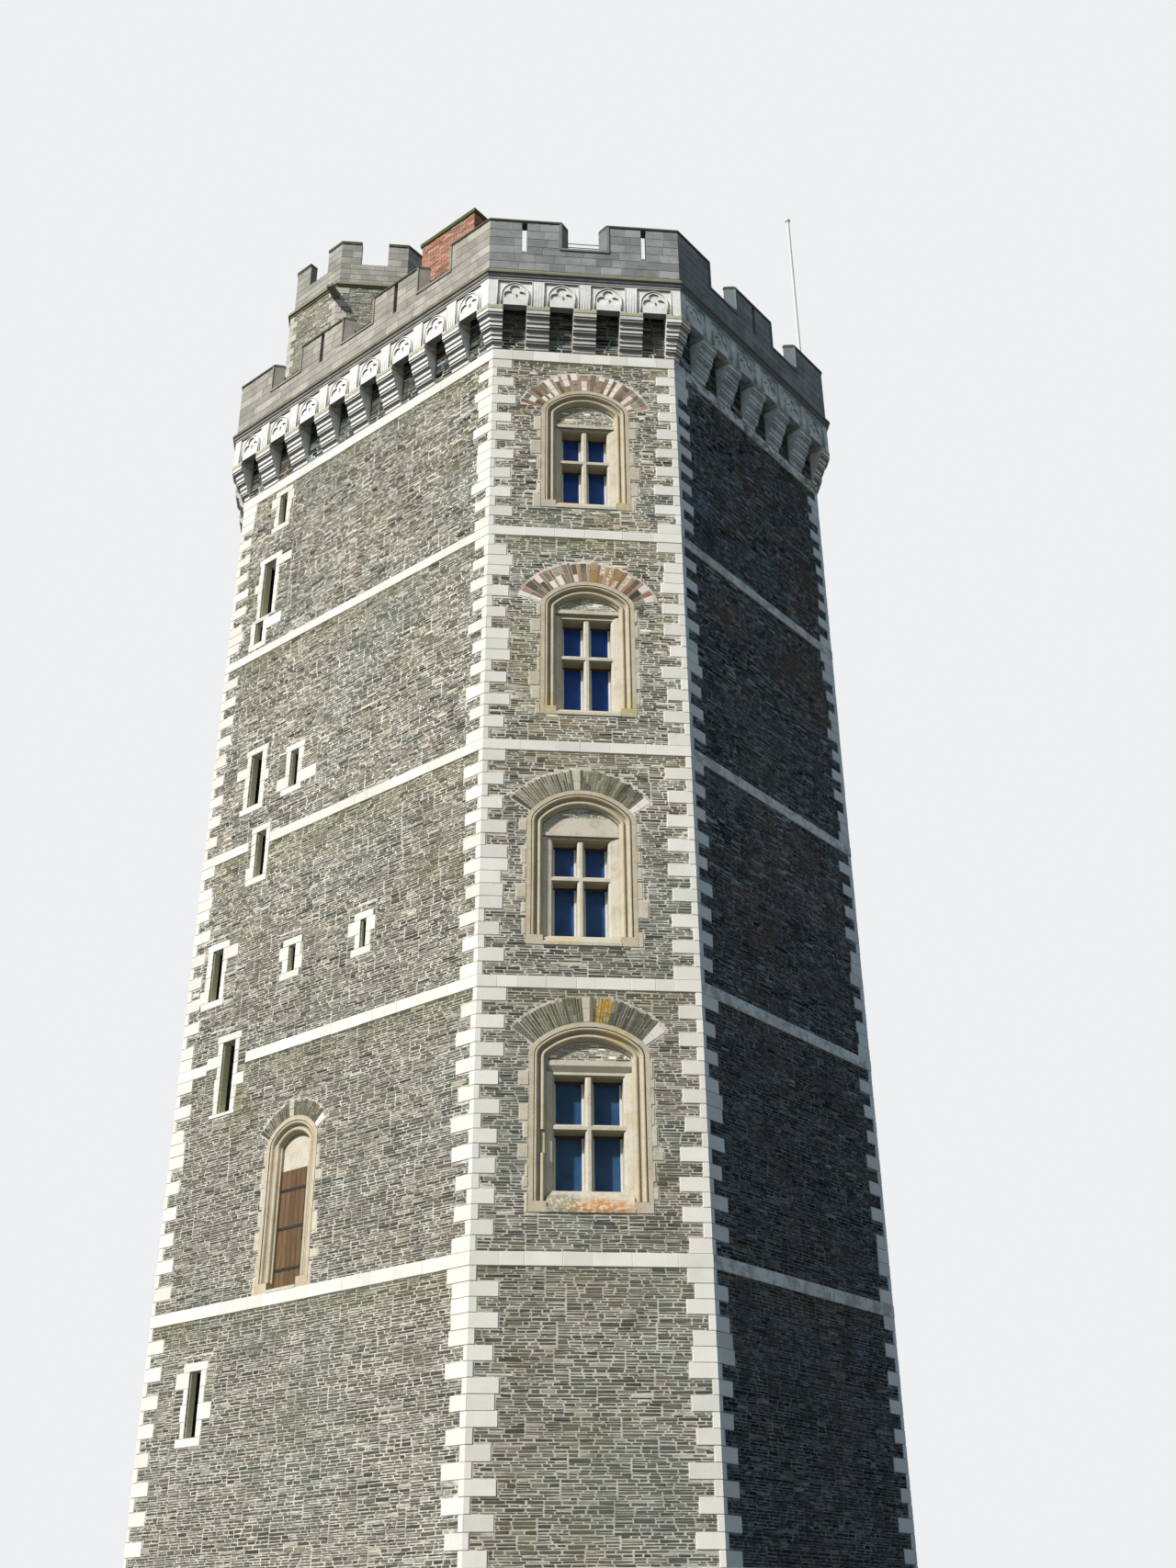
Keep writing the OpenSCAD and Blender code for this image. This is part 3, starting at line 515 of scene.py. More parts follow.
class Shader(Tree):
    """A surface material over the object's own coordinates."""

    def __init__(self, name, roughness=0.85, specular=0.12, metallic=0.0):
        self.material = bpy.data.materials.new(name)
        super().__init__(self.material)
        out = self.add("OutputMaterial")
        self.bsdf = self.add("BsdfPrincipled", {
            "Roughness": roughness, "Specular IOR Level": specular, "Metallic": metallic})
        self.put(out.inputs["Surface"], self.bsdf.outputs[0])
        self.coords = self.add("TexCoord").outputs["Object"]

    def noise(self, scale, detail=4.0, roughness=0.6, stretch=None, distortion=0.0):
        vector = self.coords
        if stretch:
            vector = self.add("Mapping", {"Vector": vector, "Scale": stretch}).outputs[0]
        inputs = {"Vector": vector, "Scale": scale, "Detail": detail}
        inputs.update({"Roughness": roughness, "Distortion": distortion})
        return self.add("TexNoise", inputs).outputs["Fac"]

    def cells(self, scale):
        inputs = {"Vector": self.coords, "Scale": scale}
        return self.add("TexVoronoi", inputs).outputs["Distance"]

    def times(self, a, b):
        return self.math("MULTIPLY", a, b)

    def span(self, value, low, high, to_low=0.0, to_high=1.0):
        keys = ("Value", "From Min", "From Max", "To Min", "To Max")
        inputs = dict(zip(keys, (value, low, high, to_low, to_high)))
        return self.add("MapRange", inputs, interpolation_type="SMOOTHSTEP").outputs[0]

    def patches(self, low, high, *how):
        """1 where a noise is above high, 0 where it is below low."""
        return self.span(self.noise(*how), low, high)

    def ramp(self, value, stops):
        node = self.add("ValToRGB", {"Fac": value})
        band = node.color_ramp.elements
        while len(band) < len(stops):
            band.new(0.5)
        for element, (at, colour) in zip(band, sorted(stops, key=lambda s: s[0])):
            element.position = at
            element.color = (*colour, 1.0)
        return node.outputs["Color"]

    def mix(self, factor, a, b, mode="MIX"):
        node = self.add("Mix", {0: factor}, data_type="RGBA", blend_type=mode)
        for socket, value in ((node.inputs[6], a), (node.inputs[7], b)):
            if not isinstance(value, bpy.types.NodeSocket):
                value = (*value, 1.0)
            self.put(socket, value)
        return node.outputs[2]

    def stain(self, colour, where, share, tint):
        return self.mix(self.times(where, share), colour, tint)

    def height(self):
        return self.add("SeparateXYZ", {0: self.coords}).outputs[2]

    def ragged(self, z, scale, reach):
        """The height, up to reach too high or too low."""
        return self.math("ADD", z, self.span(self.noise(scale), 0.3, 0.7, -reach, reach))

    def facing(self, axis):
        normal = self.add("NewGeometry").outputs["Normal"]
        return self.add("SeparateXYZ", {0: normal}).outputs[axis]

    def underside(self):
        return self.span(self.facing(UP), -0.2, -0.75)

    def tone(self, times=None):
        value = self.add("Attribute", attribute_name="tone").outputs["Fac"]
        if times is None:
            return value
        inputs = {"W": self.times(value, times)}
        return self.add("TexWhiteNoise", inputs, noise_dimensions="1D").outputs["Value"]

    def toned(self, colour, *shades):
        """The colour by tone: shades for a tone of 0, 0.5 and 1."""
        shade = self.ramp(self.tone(), list(zip((0.0, 0.5, 1.0), shades)))
        return self.mix(1.0, colour, shade, "MULTIPLY")

    def grain(self, colour, fine, low=0.75, high=1.2):
        shade = self.ramp(fine, [(0.25, grey(low)), (0.75, grey(high))])
        return self.mix(1.0, colour, shade, "MULTIPLY")

    def spot(self, centre, radii):
        """1 in the middle of an ellipsoid, fading to 0 at its surface."""
        vector = "VectorMath"
        away = self.add(vector, {0: self.coords, 1: centre}, operation="SUBTRACT").outputs[0]
        share = self.add(vector, {0: away, 1: radii}, operation="DIVIDE").outputs[0]
        length = self.add(vector, {0: share}, operation="LENGTH").outputs["Value"]
        return self.span(length, 1.0, 0.45)

    def hollows(self, distance):
        """1 in narrow hollows and inner corners, 0 on open faces."""
        node = self.add("AmbientOcclusion", {"Distance": distance}, samples=4)
        return self.span(node.outputs["AO"], 0.86, 0.45)

    def done(self, colour, bumps=None, strength=0.4, distance=0.01):
        """The material, bumped where bumps is a height."""
        self.put(self.bsdf.inputs["Base Color"], colour)
        if bumps is not None:
            inputs = {"Height": bumps, "Strength": strength, "Distance": distance}
            self.put(self.bsdf.inputs["Normal"], self.add("Bump", inputs).outputs[0])
        return self.material


def grey(value):
    return (value,) * 3


def scaled(colour, share):
    return tuple(c * share for c in colour)


def under_bands(s, z, depth):
    """1 just below each string course, fading over depth."""
    top = 40.0
    stops = [(0.0, grey(0.0))]
    for k in range(1, 6):
        low, high = band_under(k), LEVELS[k] + 0.05
        stops += [((low - depth) / top, grey(0.0)), (low / top, grey(1.0)), (high / top, grey(0.0))]
    return s.ramp(s.math("DIVIDE", z, top), stops)


# Rubble and mortar grow darker towards the foot of the walls
DARK_FOOT_FROM, DARK_FOOT_FULL = 18.0, 9.0


def darker_foot(s, z):
    """1 low on the walls, fading to 0 on the way up."""
    return s.span(s.ragged(z, 0.5, 2.0), DARK_FOOT_FROM, DARK_FOOT_FULL)


SLATE_GREYS = [
    (0.00, (0.060, 0.064, 0.052)), (0.30, (0.145, 0.150, 0.120)), (0.58, (0.280, 0.280, 0.222)),
    (0.84, (0.470, 0.458, 0.368)), (0.92, (0.680, 0.645, 0.525)), (1.00, (0.840, 0.800, 0.680)),
]
MID_GREY = 0.25
LICHEN_GOLD = [(0.35, (0.20, 0.19, 0.14)), (0.50, (0.62, 0.40, 0.05)), (0.65, (0.60, 0.28, 0.04))]


def slate(name, shade=1.0, tint=(1.0, 1.0, 1.0), stained=0.55, rusty=0.65, warmed=0.35,
          spread=1.0, spots=(), patchy=0.14, specular=0.12, palest=9.0):
    """Rubble stones by tone; spread is their contrast and palest the most that a stone reflects."""

    def shaded(c, t):
        return min(MID_GREY * (c / MID_GREY) ** spread * shade, palest) * t

    s = Shader(name, 0.8, specular)
    tone = s.tone()
    base = s.ramp(tone, [(at, tuple(map(shaded, rgb, tint))) for at, rgb in SLATE_GREYS])
    leaves = s.noise(7.0, 3.0, 0.6, (1.0, 1.0, 15.0))
    beds = s.noise(2.8, 3.0, 0.6, (1.0, 1.0, 10.0))
    fine = s.noise(46.0, 5.0, 0.65)
    base = s.grain(base, beds, 0.56, 1.42)
    base = s.grain(base, leaves, 0.72, 1.26)
    base = s.grain(base, fine, 0.86, 1.13)
    base = s.grain(base, s.noise(1.0, 5.0, 0.7), 1.0 - patchy, 1.0 + patchy)
    rust = s.times(s.span(s.tone(531.7), 0.72, 0.95), s.patches(0.45, 0.62, 0.6, 3.0))
    base = s.stain(base, rust, rusty, scaled((0.44, 0.265, 0.135), shade))
    warm = s.patches(0.46, 0.68, 0.55, 4.0, 0.6, (1.0, 1.0, 1.6))
    base = s.stain(base, warm, warmed, scaled((0.34, 0.285, 0.215), shade))
    z = s.height()
    wet = s.times(under_bands(s, z, 1.2), s.patches(0.32, 0.62, 1.3))
    patch = s.patches(0.52, 0.72, 0.45, 5.0)
    green = s.math("MAXIMUM", wet, s.times(patch, 0.8))
    base = s.stain(base, green, stained, scaled((0.245, 0.235, 0.095), shade))
    dark = s.patches(0.50, 0.78, 0.7, 4.0, 0.6, (1.0, 1.0, 0.5))
    base = s.stain(base, dark, 0.30, scaled((0.13, 0.125, 0.105), shade))
    cool = s.patches(0.50, 0.64, 0.33, 3.0, 0.5, (1.0, 1.0, 1.5))
    base = s.stain(base, cool, 0.45, scaled((0.185, 0.235, 0.205), shade))
    base = s.stain(base, darker_foot(s, z), 0.42, scaled((0.085, 0.090, 0.070), shade))
    for centre, radii, brown in spots:
        share = s.times(s.spot(centre, radii), s.span(s.tone(97.3), 0.25, 0.6))
        base = s.stain(base, share, 0.75, brown)
    lichen = s.span(tone, 1.2, 1.4)
    base = s.mix(lichen, base, s.ramp(s.noise(9.0), LICHEN_GOLD))
    bumps = s.math("ADD", s.math("ADD", leaves, beds), s.times(fine, 0.6))
    return s.done(base, bumps, 0.55, 0.012)


def mortar(name, colour, low=0.55, stained=0.35, dulled=0.80, specular=0.12):
    s = Shader(name, 0.95, specular)
    fine = s.noise(60.0, 6.0, 0.7)
    base = s.mix(s.patches(0.44, 0.70, 1.6, 5.0), colour, scaled(colour, low))
    worn = s.patches(0.46, 0.57, 7.0, 4.0, 0.65, (1.0, 1.0, 2.2))
    base = s.stain(base, worn, dulled, scaled(colour, 0.30))
    base = s.grain(base, fine, 0.74, 1.18)
    base = s.stain(base, darker_foot(s, s.height()), 0.34, scaled(colour, 0.36))
    green = s.math("MAXIMUM", s.patches(0.52, 0.72, 0.45, 5.0), under_bands(s, s.height(), 0.7))
    base = s.stain(base, green, stained, (0.30, 0.29, 0.14))
    # Painted shade: mortar turns nearly black above the top string course, for the bays behind the
    # corbels; this darkens all mortar that high
    crown = s.span(s.height(), LEVELS[5] + 0.15, LEVELS[5] + 0.5)
    base = s.stain(base, crown, 0.85, (0.10, 0.11, 0.095))
    return s.done(base, fine, 0.6, 0.01)


def limestone(name, base, weather, lichen=0.0, toned=True, under_shade_and_grime=0.0, spots=(), hollow_shade_and_dirt=0.0,
              tanned=0.0, rough=1.0, mossy=0.0):
    s = Shader(name, 0.85)
    colour = s.ramp(s.noise(1.7), [(0.3, scaled(base, 0.93)), (0.7, base)])
    if toned:
        colour = s.toned(colour, (0.90, 0.90, 0.88), (1.0, 0.995, 0.98), (1.06, 1.06, 1.05))
    fine = s.noise(55.0, 6.0, 0.7)
    pits = s.span(s.cells(38.0), 0.10, 0.32)
    colour = s.grain(colour, fine, 1.0 - 0.16 * rough, 1.0 + 0.10 * rough)
    colour = s.stain(colour, s.patches(0.48, 0.70, 0.9, 6.0, 0.7), weather, (0.45, 0.43, 0.35))
    if tanned:
        tan = s.times(s.patches(0.44, 0.64, 3.4, 5.0, 0.7), s.patches(0.30, 0.55, 26.0, 3.0))
        colour = s.stain(colour, tan, tanned, (0.50, 0.40, 0.25))
    colour = s.stain(colour, s.span(s.facing(UP), 0.25, 0.8), 0.4, (0.40, 0.40, 0.28))
    if lichen:
        grown = s.times(s.patches(0.50, 0.62, 2.6, 5.0, 0.65), s.patches(0.42, 0.6, 21.0, 3.0))
        colour = s.stain(colour, grown, lichen, (0.66, 0.45, 0.20))
    # Painted shade with some grime: faces that look down turn dark olive
    if under_shade_and_grime:
        colour = s.stain(colour, s.underside(), under_shade_and_grime, (0.24, 0.22, 0.12))
    if mossy:
        upward = (22.5, 27.4, 0.55, 1.0)
        grown = s.times(s.patches(0.46, 0.58, 3.2, 6.0, 0.75), s.span(s.height(), *upward))
        colour = s.stain(colour, grown, mossy, (0.13, 0.16, 0.11))
    # Painted shade with some dirt: hollows and inner corners turn dark
    if hollow_shade_and_dirt:
        colour = s.stain(colour, s.hollows(0.05), hollow_shade_and_dirt, (0.10, 0.095, 0.055))
        # Painted shade: faces that look towards +x, such as the left reveals of the front windows,
        # turn grey-green in patches
        side = s.span(s.facing(EAST), 0.35, 0.8)
        east_shade = s.times(side, s.span(s.noise(1.4, 5.0), 0.30, 0.60, 0.35, 0.75))
        colour = s.mix(east_shade, colour, (0.27, 0.29, 0.22))
    speckle = s.times(s.patches(0.40, 0.54, 14.0, 5.0, 0.75), 0.90)
    for centre, radii, tint in spots:
        colour = s.stain(colour, s.spot(centre, radii), speckle, tint)
    return s.done(colour, s.math("ADD", fine, s.times(pits, 0.5)), 0.35, 0.006)


def by_height(name, base, bands=(), toned=True, up_colour=(0.20, 0.21, 0.12), up_share=0.6,
              under_shade_and_grime=0.5, contrast=1.0, hollow_shade_and_dirt=0.0, stained=0.0):
    """Stone with stains by height: bands of (from, to, colour, share)."""
    s = Shader(name, 0.88)
    colour = s.ramp(s.noise(2.2, 5.0), [(0.3, scaled(base, 0.82)), (0.7, scaled(base, 1.10))])
    if toned:
        dark, pale = 1.0 - 0.24 * contrast, 1.0 + 0.20 * contrast
        colour = s.toned(colour, grey(dark), (0.97, 0.97, 0.96), (pale, pale, pale * 0.98))
    fine = s.noise(48.0, 6.0, 0.7)
    colour = s.grain(colour, fine, 0.80, 1.16)
    edge, ragged = 0.02, s.ragged(s.height(), 6.0, 0.03)
    for low, high, tint, share in bands:
        above = s.span(ragged, low - edge, low + edge)
        below = s.span(ragged, high + edge, high - edge)
        colour = s.stain(colour, s.times(above, below), share, tint)
    if stained:
        blotch = s.patches(0.46, 0.60, 1.9, 6.0, 0.7)
        colour = s.stain(colour, blotch, stained, (0.17, 0.175, 0.15))
    # Painted shade with some grime: faces that look down turn nearly black
    colour = s.stain(colour, s.underside(), under_shade_and_grime, (0.10, 0.10, 0.09))
    up = s.times(s.span(s.facing(UP), 0.2, 0.7), s.patches(0.25, 0.6, 3.0, 5.0))
    colour = s.stain(colour, up, up_share, up_colour)
    # Painted shade with some dirt: hollows and inner corners turn dark
    if hollow_shade_and_dirt:
        colour = s.stain(colour, s.hollows(0.06), hollow_shade_and_dirt, (0.13, 0.125, 0.09))
    return s.done(colour, fine, 0.5, 0.008)


def moss(name):
    s = Shader(name, 0.95)
    lumps = s.noise(18.0, 6.0, 0.7)
    greens = [(0.3, (0.055, 0.075, 0.035)), (0.55, (0.12, 0.15, 0.06)), (0.8, (0.26, 0.27, 0.15))]
    return s.done(s.ramp(lumps, greens), lumps, 0.9, 0.03)


def timber(name, base, scale):
    """Wood with its grain along the direction of the smallest scale."""
    s = Shader(name, 0.75)
    grain = s.noise(1.0, 6.0, 0.6, scale, 0.6)
    colour = s.ramp(grain, [(0.25, scaled(base, 0.5)), (0.7, base), (0.9, scaled(base, 1.25))])
    shade = s.ramp(s.tone(37.0), [(0.0, grey(0.75)), (1.0, (1.15, 1.12, 1.1))])
    return s.done(s.mix(1.0, colour, shade, "MULTIPLY"), grain, 0.5, 0.005)


def metal(name, base, roughness, metallic, rusty=0.4):
    s = Shader(name, roughness, metallic=metallic)
    wear = s.noise(9.0, 6.0, 0.7)
    colour = s.ramp(wear, [(0.35, scaled(base, 0.7)), (0.65, base)])
    colour = s.mix(s.span(wear, 0.62, 0.75, 0.0, rusty), colour, (0.22, 0.12, 0.07))
    return s.done(colour, wear, 0.2, 0.003)


def paint(name, base):
    s = Shader(name, 0.55, 0.3)
    worn = s.noise(7.0, 6.0, 0.7)
    colour = s.ramp(worn, [(0.35, scaled(base, 0.88)), (0.62, base)])
    colour = s.mix(s.span(worn, 0.66, 0.78, 0.0, 0.5), colour, (0.45, 0.41, 0.34))
    # Painted shadow: parts with a tone of 1, the casements' top rails, turn dark brown
    colour = s.mix(s.span(s.tone(), 0.9, 1.0), colour, (0.075, 0.030, 0.022))
    return s.done(colour, worn, 0.15, 0.002)


def glass(name):
    # Painted reflection: the panes' blue stands for the sky they reflect, bluer higher up and tealer
    # lower down
    s = Shader(name, 0.12, 0.06)
    wave = s.noise(1.6, 2.0)
    high = s.ramp(wave, [(0.3, (0.015, 0.052, 0.230)), (0.7, (0.026, 0.088, 0.370))])
    low = s.ramp(wave, [(0.3, (0.026, 0.074, 0.175)), (0.7, (0.050, 0.125, 0.250))])
    return s.done(s.mix(s.span(s.height(), 9.0, 19.0), low, high), wave, 0.2, 0.02)


def brick(name):
    s = Shader(name, 0.85)
    base = s.ramp(s.tone(), [(0.0, (0.29, 0.14, 0.10)), (0.35, (0.49, 0.225, 0.15)),
                             (0.7, (0.60, 0.30, 0.205)), (1.0, (0.66, 0.45, 0.34))])
    fine = s.noise(60.0, 6.0, 0.7)
    base = s.grain(base, fine, 0.75, 1.15)
    base = s.stain(base, s.patches(0.48, 0.7, 1.4, 5.0), 0.35, (0.22, 0.19, 0.16))
    return s.done(base, fine, 0.5, 0.006)


# Places of lichen, stains and darker patches: middle, radii, colour
FRONT_X, FRONT_Y = 1.022, -7.966
ORANGE, YELLOW, GREEN = (0.56, 0.215, 0.035), (0.60, 0.50, 0.24), (0.26, 0.25, 0.15)
BROWN, OLIVE = (0.36, 0.255, 0.125), (0.34, 0.31, 0.12)
PINK, GOLDEN = (0.70, 0.42, 0.24), (0.50, 0.32, 0.09)
RUST, BLUISH = (0.17, 0.105, 0.070), (0.125, 0.165, 0.200)


def front_spots(*places):
    """Spots as x off the windows' middle, height, wide, deep, high, colour."""
    return [((FRONT_X + x, FRONT_Y, z), radii, colour) for x, z, *radii, colour in places]


CREAM_SPOTS = front_spots(
    (0.93, 17.45, 0.30, 0.4, 0.42, YELLOW), (-0.88, 17.48, 0.28, 0.4, 0.40, YELLOW),
    (0.90, 23.15, 0.28, 0.4, 0.42, YELLOW), (0.60, 9.95, 0.45, 0.4, 0.35, YELLOW))
CROSS_SPOTS = front_spots(
    # The green spot darkens the left end of the lowest sill in speckles
    (-0.55, 6.52, 0.60, 0.5, 0.36, GREEN), (0.22, 6.46, 0.80, 0.5, 0.26, ORANGE),
    (-0.55, 11.92, 0.50, 0.5, 0.20, YELLOW), (-0.30, 23.20, 0.45, 0.5, 0.20, PINK))
SLATE_SPOTS = front_spots(
    (-0.45, 16.93, 1.25, 0.4, 0.48, BROWN), (0.75, 22.62, 1.20, 0.4, 0.34, BROWN),
    (0.30, 22.10, 1.30, 0.4, 0.40, OLIVE))
ARCH_SPOTS = front_spots((0.48, 21.00, 0.80, 0.5, 0.55, GOLDEN))
SHADE_SPOTS = [
    (WALLS[RIGHT].place([x, 0.0, z]), (wide, wide, high), colour)
    for x, z, wide, high, colour in (
        (3.4, 25.9, 1.3, 1.0, RUST), (5.5, 23.7, 1.5, 1.3, RUST), (1.8, 20.9, 1.2, 1.0, RUST),
        (4.9, 20.4, 1.9, 1.5, RUST), (4.4, 15.0, 2.4, 1.4, RUST), (2.4, 13.2, 1.6, 0.9, RUST),
        (1.9, 25.2, 1.0, 0.8, BLUISH), (0.7, 24.0, 1.2, 0.9, BLUISH), (3.2, 23.2, 1.6, 0.6, BLUISH),
        (2.9, 18.2, 1.8, 0.8, BLUISH), (1.0, 16.0, 1.4, 0.9, BLUISH))
]


def crown_bands(under_panels, on_string):
    return [(28.83, 28.95, under_panels, 0.70), (27.80, 27.87, on_string, 0.5)]


def parapet(name, base, contrast, stained, cornice, splay, coping):
    bands = [(29.82, 29.90, cornice, 0.7), (30.00, 30.22, splay, 0.75),
             (31.87, 32.10, coping, 0.9)]
    return by_height(name, base, bands, under_shade_and_grime=0.8, contrast=contrast, stained=stained)


YELLOW_GREY, MOSS_GREY, DARK_MOSS = (0.44, 0.42, 0.20), (0.27, 0.27, 0.15), (0.085, 0.10, 0.055)
CROWN = crown_bands(YELLOW_GREY, (0.45, 0.44, 0.38))
LIME, LONG_X, LONG_Z = (0.99, 0.95, 0.84), (3.0, 40.0, 40.0), (40.0, 40.0, 3.0)
M = {
    "slate": slate("slate_stones", 0.90, warmed=0.42, spread=1.18),
    # A brighter copy of the slate for the front: partly painted light for the weaker sun there, with
    # stains of its own
    "slate_front": slate("slate_stones_front", 1.07, warmed=0.42, spread=1.34,
                         spots=SLATE_SPOTS + ARCH_SPOTS),
    # A darker, bluer copy of the slate for the shaded sides: painted shade, with rust and stains of
    # its own
    "slate_shade": slate("slate_stones_shaded", 0.46, (0.66, 0.90, 1.22), 0.30, 1.0, 0.45, 2.1,
                         SHADE_SPOTS, 0.75, 0.0, 0.48),
    # A paler copy of the slate for the tympana, partly painted light where they sit back in the
    # arches' shadow
    "slate_tympanum": slate("slate_stones_tympanum", 1.9, spread=1.3),
    "bed": mortar("lime_mortar", LIME),
    # Less dulled mortar for the tympana, partly painted light for the same reason
    "bed_tympanum": mortar("lime_mortar_tympanum", (0.99, 0.96, 0.86), dulled=0.2),
    "bed_front": mortar("lime_mortar_front", LIME, dulled=0.35),
    # A darker, bluer copy of the mortar for the shaded sides: painted shade
    "bed_shade": mortar("lime_mortar_shaded", (0.33, 0.40, 0.49), 0.30, 0.15, 1.0, 0.0),
    "white": limestone("white_limestone", (0.99, 0.97, 0.90), 0.12, spots=ARCH_SPOTS, rough=0.6),
    # Bluer copies of the limestone for the shaded sides: painted shade; the string course's moss is
    # real
    "white_shaded": limestone("white_limestone_shaded", (0.79, 0.91, 0.98), 0.20),
    "string_mossy_shaded": limestone("string_course_mossy_shaded", (0.76, 0.88, 0.95), 0.30, mossy=0.85),
    "side_block": limestone("window_side_stone", (0.80, 0.75, 0.62), 0.35, 0.35,
                            tanned=0.5, rough=1.6),
    "cream": limestone("cream_moulding", (0.76, 0.68, 0.52), 0.40, 0.45, False, 0.45, CREAM_SPOTS,
                       1.0, 0.55, 2.0),
    "cross": limestone("window_cross_stone", (0.80, 0.75, 0.63), 0.25, 0.25, False, 0.85,
                       CROSS_SPOTS, 0.8, 0.55, 1.6),
    "crown": by_height("crown_stone", (0.97, 0.96, 0.92), CROWN, False, (0.52, 0.51, 0.38), 0.5,
                       0.85, hollow_shade_and_dirt=0.45),
    "corbel": by_height("corbel_stone", (0.73, 0.715, 0.675), CROWN, False, (0.40, 0.39, 0.29), 0.6,
                        0.85, hollow_shade_and_dirt=0.7),
    "parapet": parapet("parapet_stone", (0.53, 0.50, 0.44), 1.0, 0.30,
                       (0.52, 0.49, 0.50), MOSS_GREY, DARK_MOSS),
    # A bluer copy of the crown stone for the shaded right side: painted shade, with real stains
    "crown_stained_shaded": by_height("crown_stone_stained_shaded", (0.84, 0.96, 1.0),
                            crown_bands((0.26, 0.27, 0.14), (0.30, 0.31, 0.28)),
                            False, (0.34, 0.37, 0.25), 0.6, 0.5, hollow_shade_and_dirt=0.4, stained=0.36),
    # A darker, bluer copy of the parapet stone for the shaded right side: painted shade, with real
    # stains
    "parapet_stained_shaded": parapet("parapet_stone_stained_shaded", (0.29, 0.34, 0.37), 0.8, 0.4,
                            (0.30, 0.29, 0.32), (0.16, 0.17, 0.11), (0.060, 0.075, 0.045)),
    "parapet_front": parapet("parapet_stone_front", (0.375, 0.385, 0.395), 1.1, 0.30,
                             (0.50, 0.48, 0.50), MOSS_GREY, DARK_MOSS),
    "turret_top": by_height("turret_parapet_stone", (0.48, 0.465, 0.42),
                            [(36.58, 36.86, (0.34, 0.35, 0.17), 0.75),
                             (38.53, 38.70, (0.07, 0.09, 0.045), 0.92)],
                            under_shade_and_grime=0.85, contrast=0.9, stained=0.15),
    "turret_stone": slate("turret_rubble_stones", 1.70, (1.02, 1.0, 1.0), 0.20, 0.25, 0.15),
    "turret_quoin": limestone("turret_quoin_stone", (0.66, 0.63, 0.56), 0.35),
    # Pale olive for the slits' reveals: painted light
    "lining": limestone("slit_reveal_stone", (0.95, 0.92, 0.62), 0.2, toned=False),
    "glass": glass("window_glass_painted_sky"),
    "lead": metal("turret_lead", (0.32, 0.33, 0.34), 0.6, 0.4),
    "iron": metal("rail_iron", (0.06, 0.06, 0.06), 0.55, 0.5),
    "casement": paint("casement_paint", (0.80, 0.80, 0.77)),
    "flag": by_height("flagstone", (0.44, 0.43, 0.39), up_colour=(0.30, 0.30, 0.22), up_share=0.35),
    "oak": timber("floor_oak", (0.36, 0.25, 0.15), LONG_X),
    "door": timber("door_oak", (0.24, 0.15, 0.085), LONG_Z),
    "spout": by_height("spout_stone", (0.22, 0.22, 0.17), toned=False, up_share=0.8),
    "brick": brick("orange_brick"),
    "brick_bed": mortar("brick_mortar", (0.56, 0.50, 0.43)),
    "moss": moss("mossy_coping"),
    "pole": paint("pole_white", (0.86, 0.86, 0.84)),
}

# Which CAD nodes carry which material
CARRIED = {
    "bed": "rear_right_wall rear_wall rear_left_wall left_flank_wall left_wall turret_wall "
           "left_slit_frames rear_slit_frames",
    "bed_tympanum": "window_tympana",
    "bed_front": "front_wall",
    "bed_shade": "right_wall right_flank_wall",
    "white": "string_courses",
    "cream": "window_surrounds doorway_surround",
    "cross": "window_crosses doorway_lintel",
    "glass": "window_glass",
    "flag": "ground_floor roof_terrace",
    "oak": "upper_floors",
    "door": "doorway_door",
    "corbel": "front_corbels",
    "crown": "left_corbels rear_corbels corner_corbels front_arcade left_arcade narrow_side_arcades "
             "rear_side_arcades",
    "crown_stained_shaded": "right_corbels right_arcade",
    "parapet_stained_shaded": "right_parapet",
    "parapet": "left_parapet narrow_side_parapets rear_side_parapets",
    "parapet_front": "front_parapet",
    "turret_top": "turret_cornice turret_parapet",
    "iron": "guard_rails",
    "lead": "turret_roof",
    "spout": "turret_spout",
    "brick_bed": "chimney_stack",
    "moss": "chimney_coping",
    "pole": "flagpole",
}
for key, names in CARRIED.items():
    for name in names.split():
        for place in nodes[name].material_slots:
            place.material = M[key]


def bay_x(i, n):
    """Middle of one machicolation bay, and the distance from bay to bay."""
    step = (LENGTHS[i] - 2 * CORNER_W + CORBEL_W) / BAYS[i]
    return CORNER_W + (step - CORBEL_W) / 2 + n * step, step


